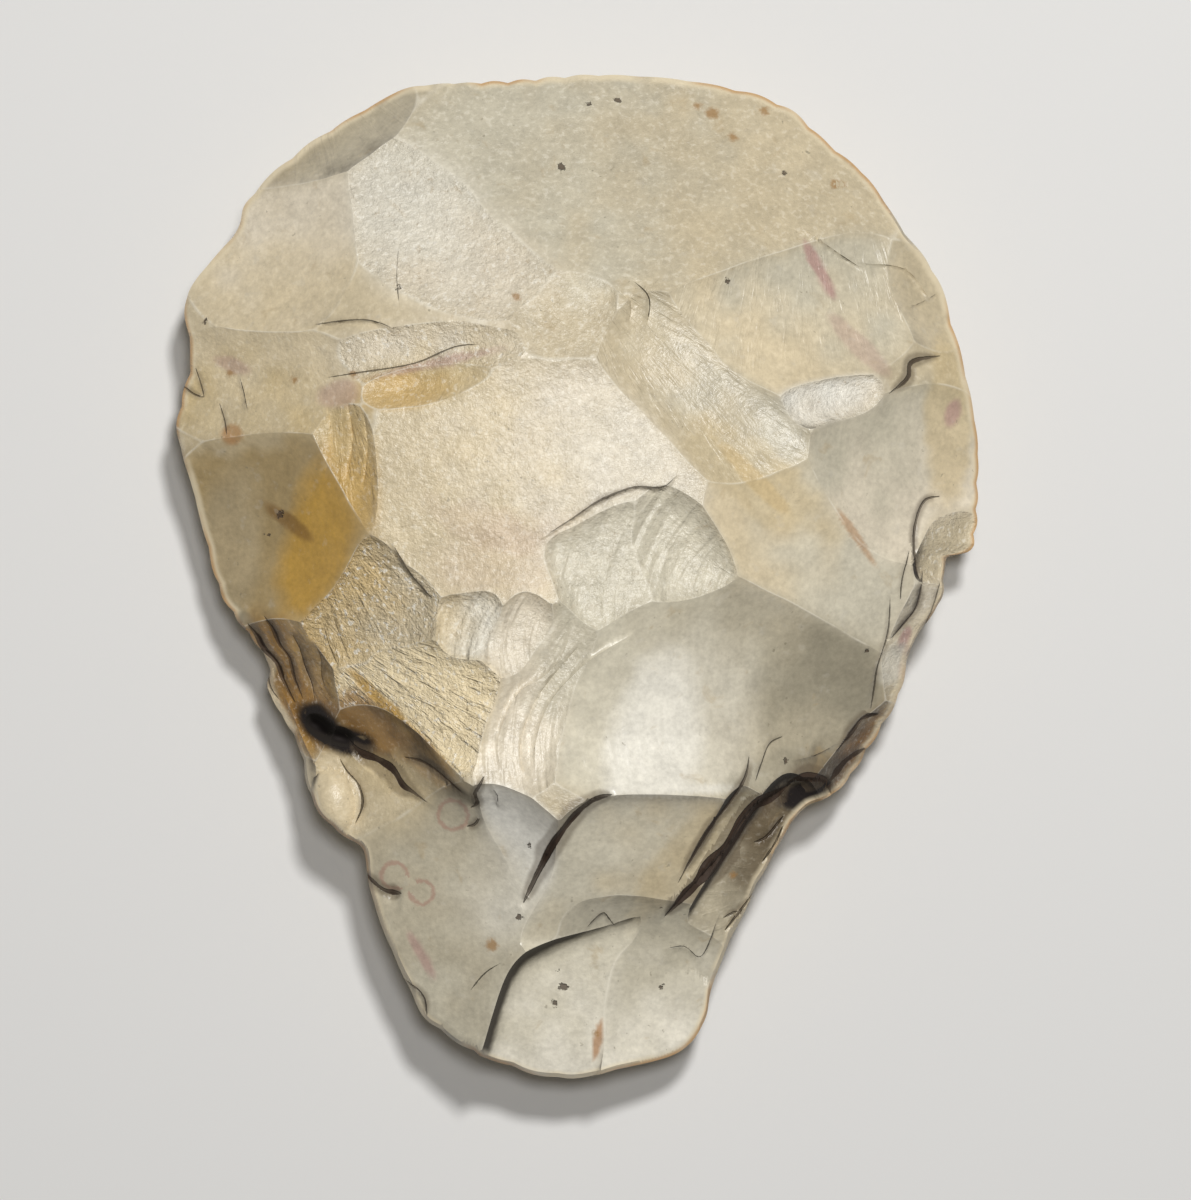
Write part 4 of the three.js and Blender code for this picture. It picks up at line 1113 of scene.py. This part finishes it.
for colour, cover in COATS:
    stone_colour = tint(stone_colour, (*colour, 1), cover)
chert.shader_input("Base Color", stone_colour)

hackle_place = chert.node("ShaderNodeCombineXYZ", sockets={
    "X": blow_distance * 0.22, "Y": blow_fan, "Z": scar_number})
ripple_place = chert.node("ShaderNodeCombineXYZ", sockets={
    "X": blow_distance, "Y": blow_fan * 0.14, "Z": scar_number})
ripple_wave = noise(0.8, 1.5, 0.45, 0.4, ripple_place)
hackle_lines = noise(0.9, 3, 0.6, 0.3, hackle_place)
crumbs = noise(800, 4, 0.65)
sugar = noise(2400, 3, 0.65)
relief = (rippled * 1.1 * ripple_wave
          + hackled * (1.1 * hackle_lines + 0.9 * abs(hackle_lines - 0.5))
          + crumbled * (0.66 * crumbs + 0.34 * sugar)
          + 0.05 * noise(1100, 3, 0.6)
          + 0.02 * sugar
          - pit * 0.25 - crack_and_shadow_line * 0.2)
bump = chert.node("ShaderNodeBump", sockets={"Height": relief, "Distance": 0.001, "Strength": 1.0})
chert.shader_input("Normal", bump)
dull = 0.4 * crack_and_shadow_line + 0.4 * steep + 0.3 * pit + 0.5 * shadow_black_cover
chert.shader_input("Roughness", 0.27 + 0.16 * mottle - 0.09 * crumbled + dull)
chert.shader_input("IOR", 1.53)
stone_mesh.materials.append(chert.material)

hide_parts("flaked_stone")
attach(stone, "root")


# The floor. A plain pale table top that the stone lies on.
floor_mesh = bpy.data.meshes.new("floor")
floor_mesh.from_pydata([(-3, -3, 0), (3, -3, 0), (3, 3, 0), (-3, 3, 0)], [], [(0, 1, 2, 3)])
floor = bpy.data.objects.new("floor", floor_mesh)
bpy.context.scene.collection.objects.link(floor)
paper = StoneFinish("pale_paper")
paper.shader_input("Base Color", (0.78, 0.77, 0.75, 1))
paper.shader_input("Roughness", 0.9)
floor_mesh.materials.append(paper.material)


# The lights. A broad soft box close to the camera's line, a smaller key from beyond the
# blade, and a faint even surround.
def soft_box(name, place, aim, size, watts):
    light = bpy.data.lights.new(name, "AREA")
    light.shape = "DISK"
    light.size = size
    light.energy = watts
    lamp = bpy.data.objects.new(name, light)
    lamp.location = place
    lamp.rotation_euler = (Vector(aim) - Vector(place)).to_track_quat("-Z", "Y").to_euler()
    bpy.context.scene.collection.objects.link(lamp)


STONE_AIM = (0, 0, 0.015)
soft_box("overhead_box", (0.03, 0.06, 0.75), STONE_AIM, 0.10, 1.5)
soft_box("key_box", (0.09, 0.24, 0.66), STONE_AIM, 0.08, 3.0)
world = bpy.data.worlds.new("studio")
world.use_nodes = True
world.node_tree.nodes["Background"].inputs["Color"].default_value = (1.0, 0.98, 0.95, 1)
world.node_tree.nodes["Background"].inputs["Strength"].default_value = 0.09
bpy.context.scene.world = world
bpy.context.scene.view_settings.view_transform = "Standard"


# The camera. It looks straight down on the stone, whose blade is at the top of the picture.
LENS = 0.180
SENSOR = 0.036
PHOTO_TALL_SQUARES = 120.0
PHOTO_MIDDLE = (41.75, 47.8)
EDGE_PLANE = 0.014
tall = PHOTO_TALL_SQUARES * SQUARE_Y / 1000
camera_data = bpy.data.cameras.new("camera")
camera_data.lens = 1000 * LENS
camera_data.sensor_width = 1000 * SENSOR
camera_data.clip_start = 0.01
camera = bpy.data.objects.new("camera", camera_data)
camera.location = ((PHOTO_MIDDLE[0] - box_x) * SQUARE_X / 1000,
                   (PHOTO_MIDDLE[1] - box_y) * SQUARE_Y / 1000,
                   EDGE_PLANE + tall * LENS / SENSOR)
bpy.context.scene.collection.objects.link(camera)
bpy.context.scene.camera = camera
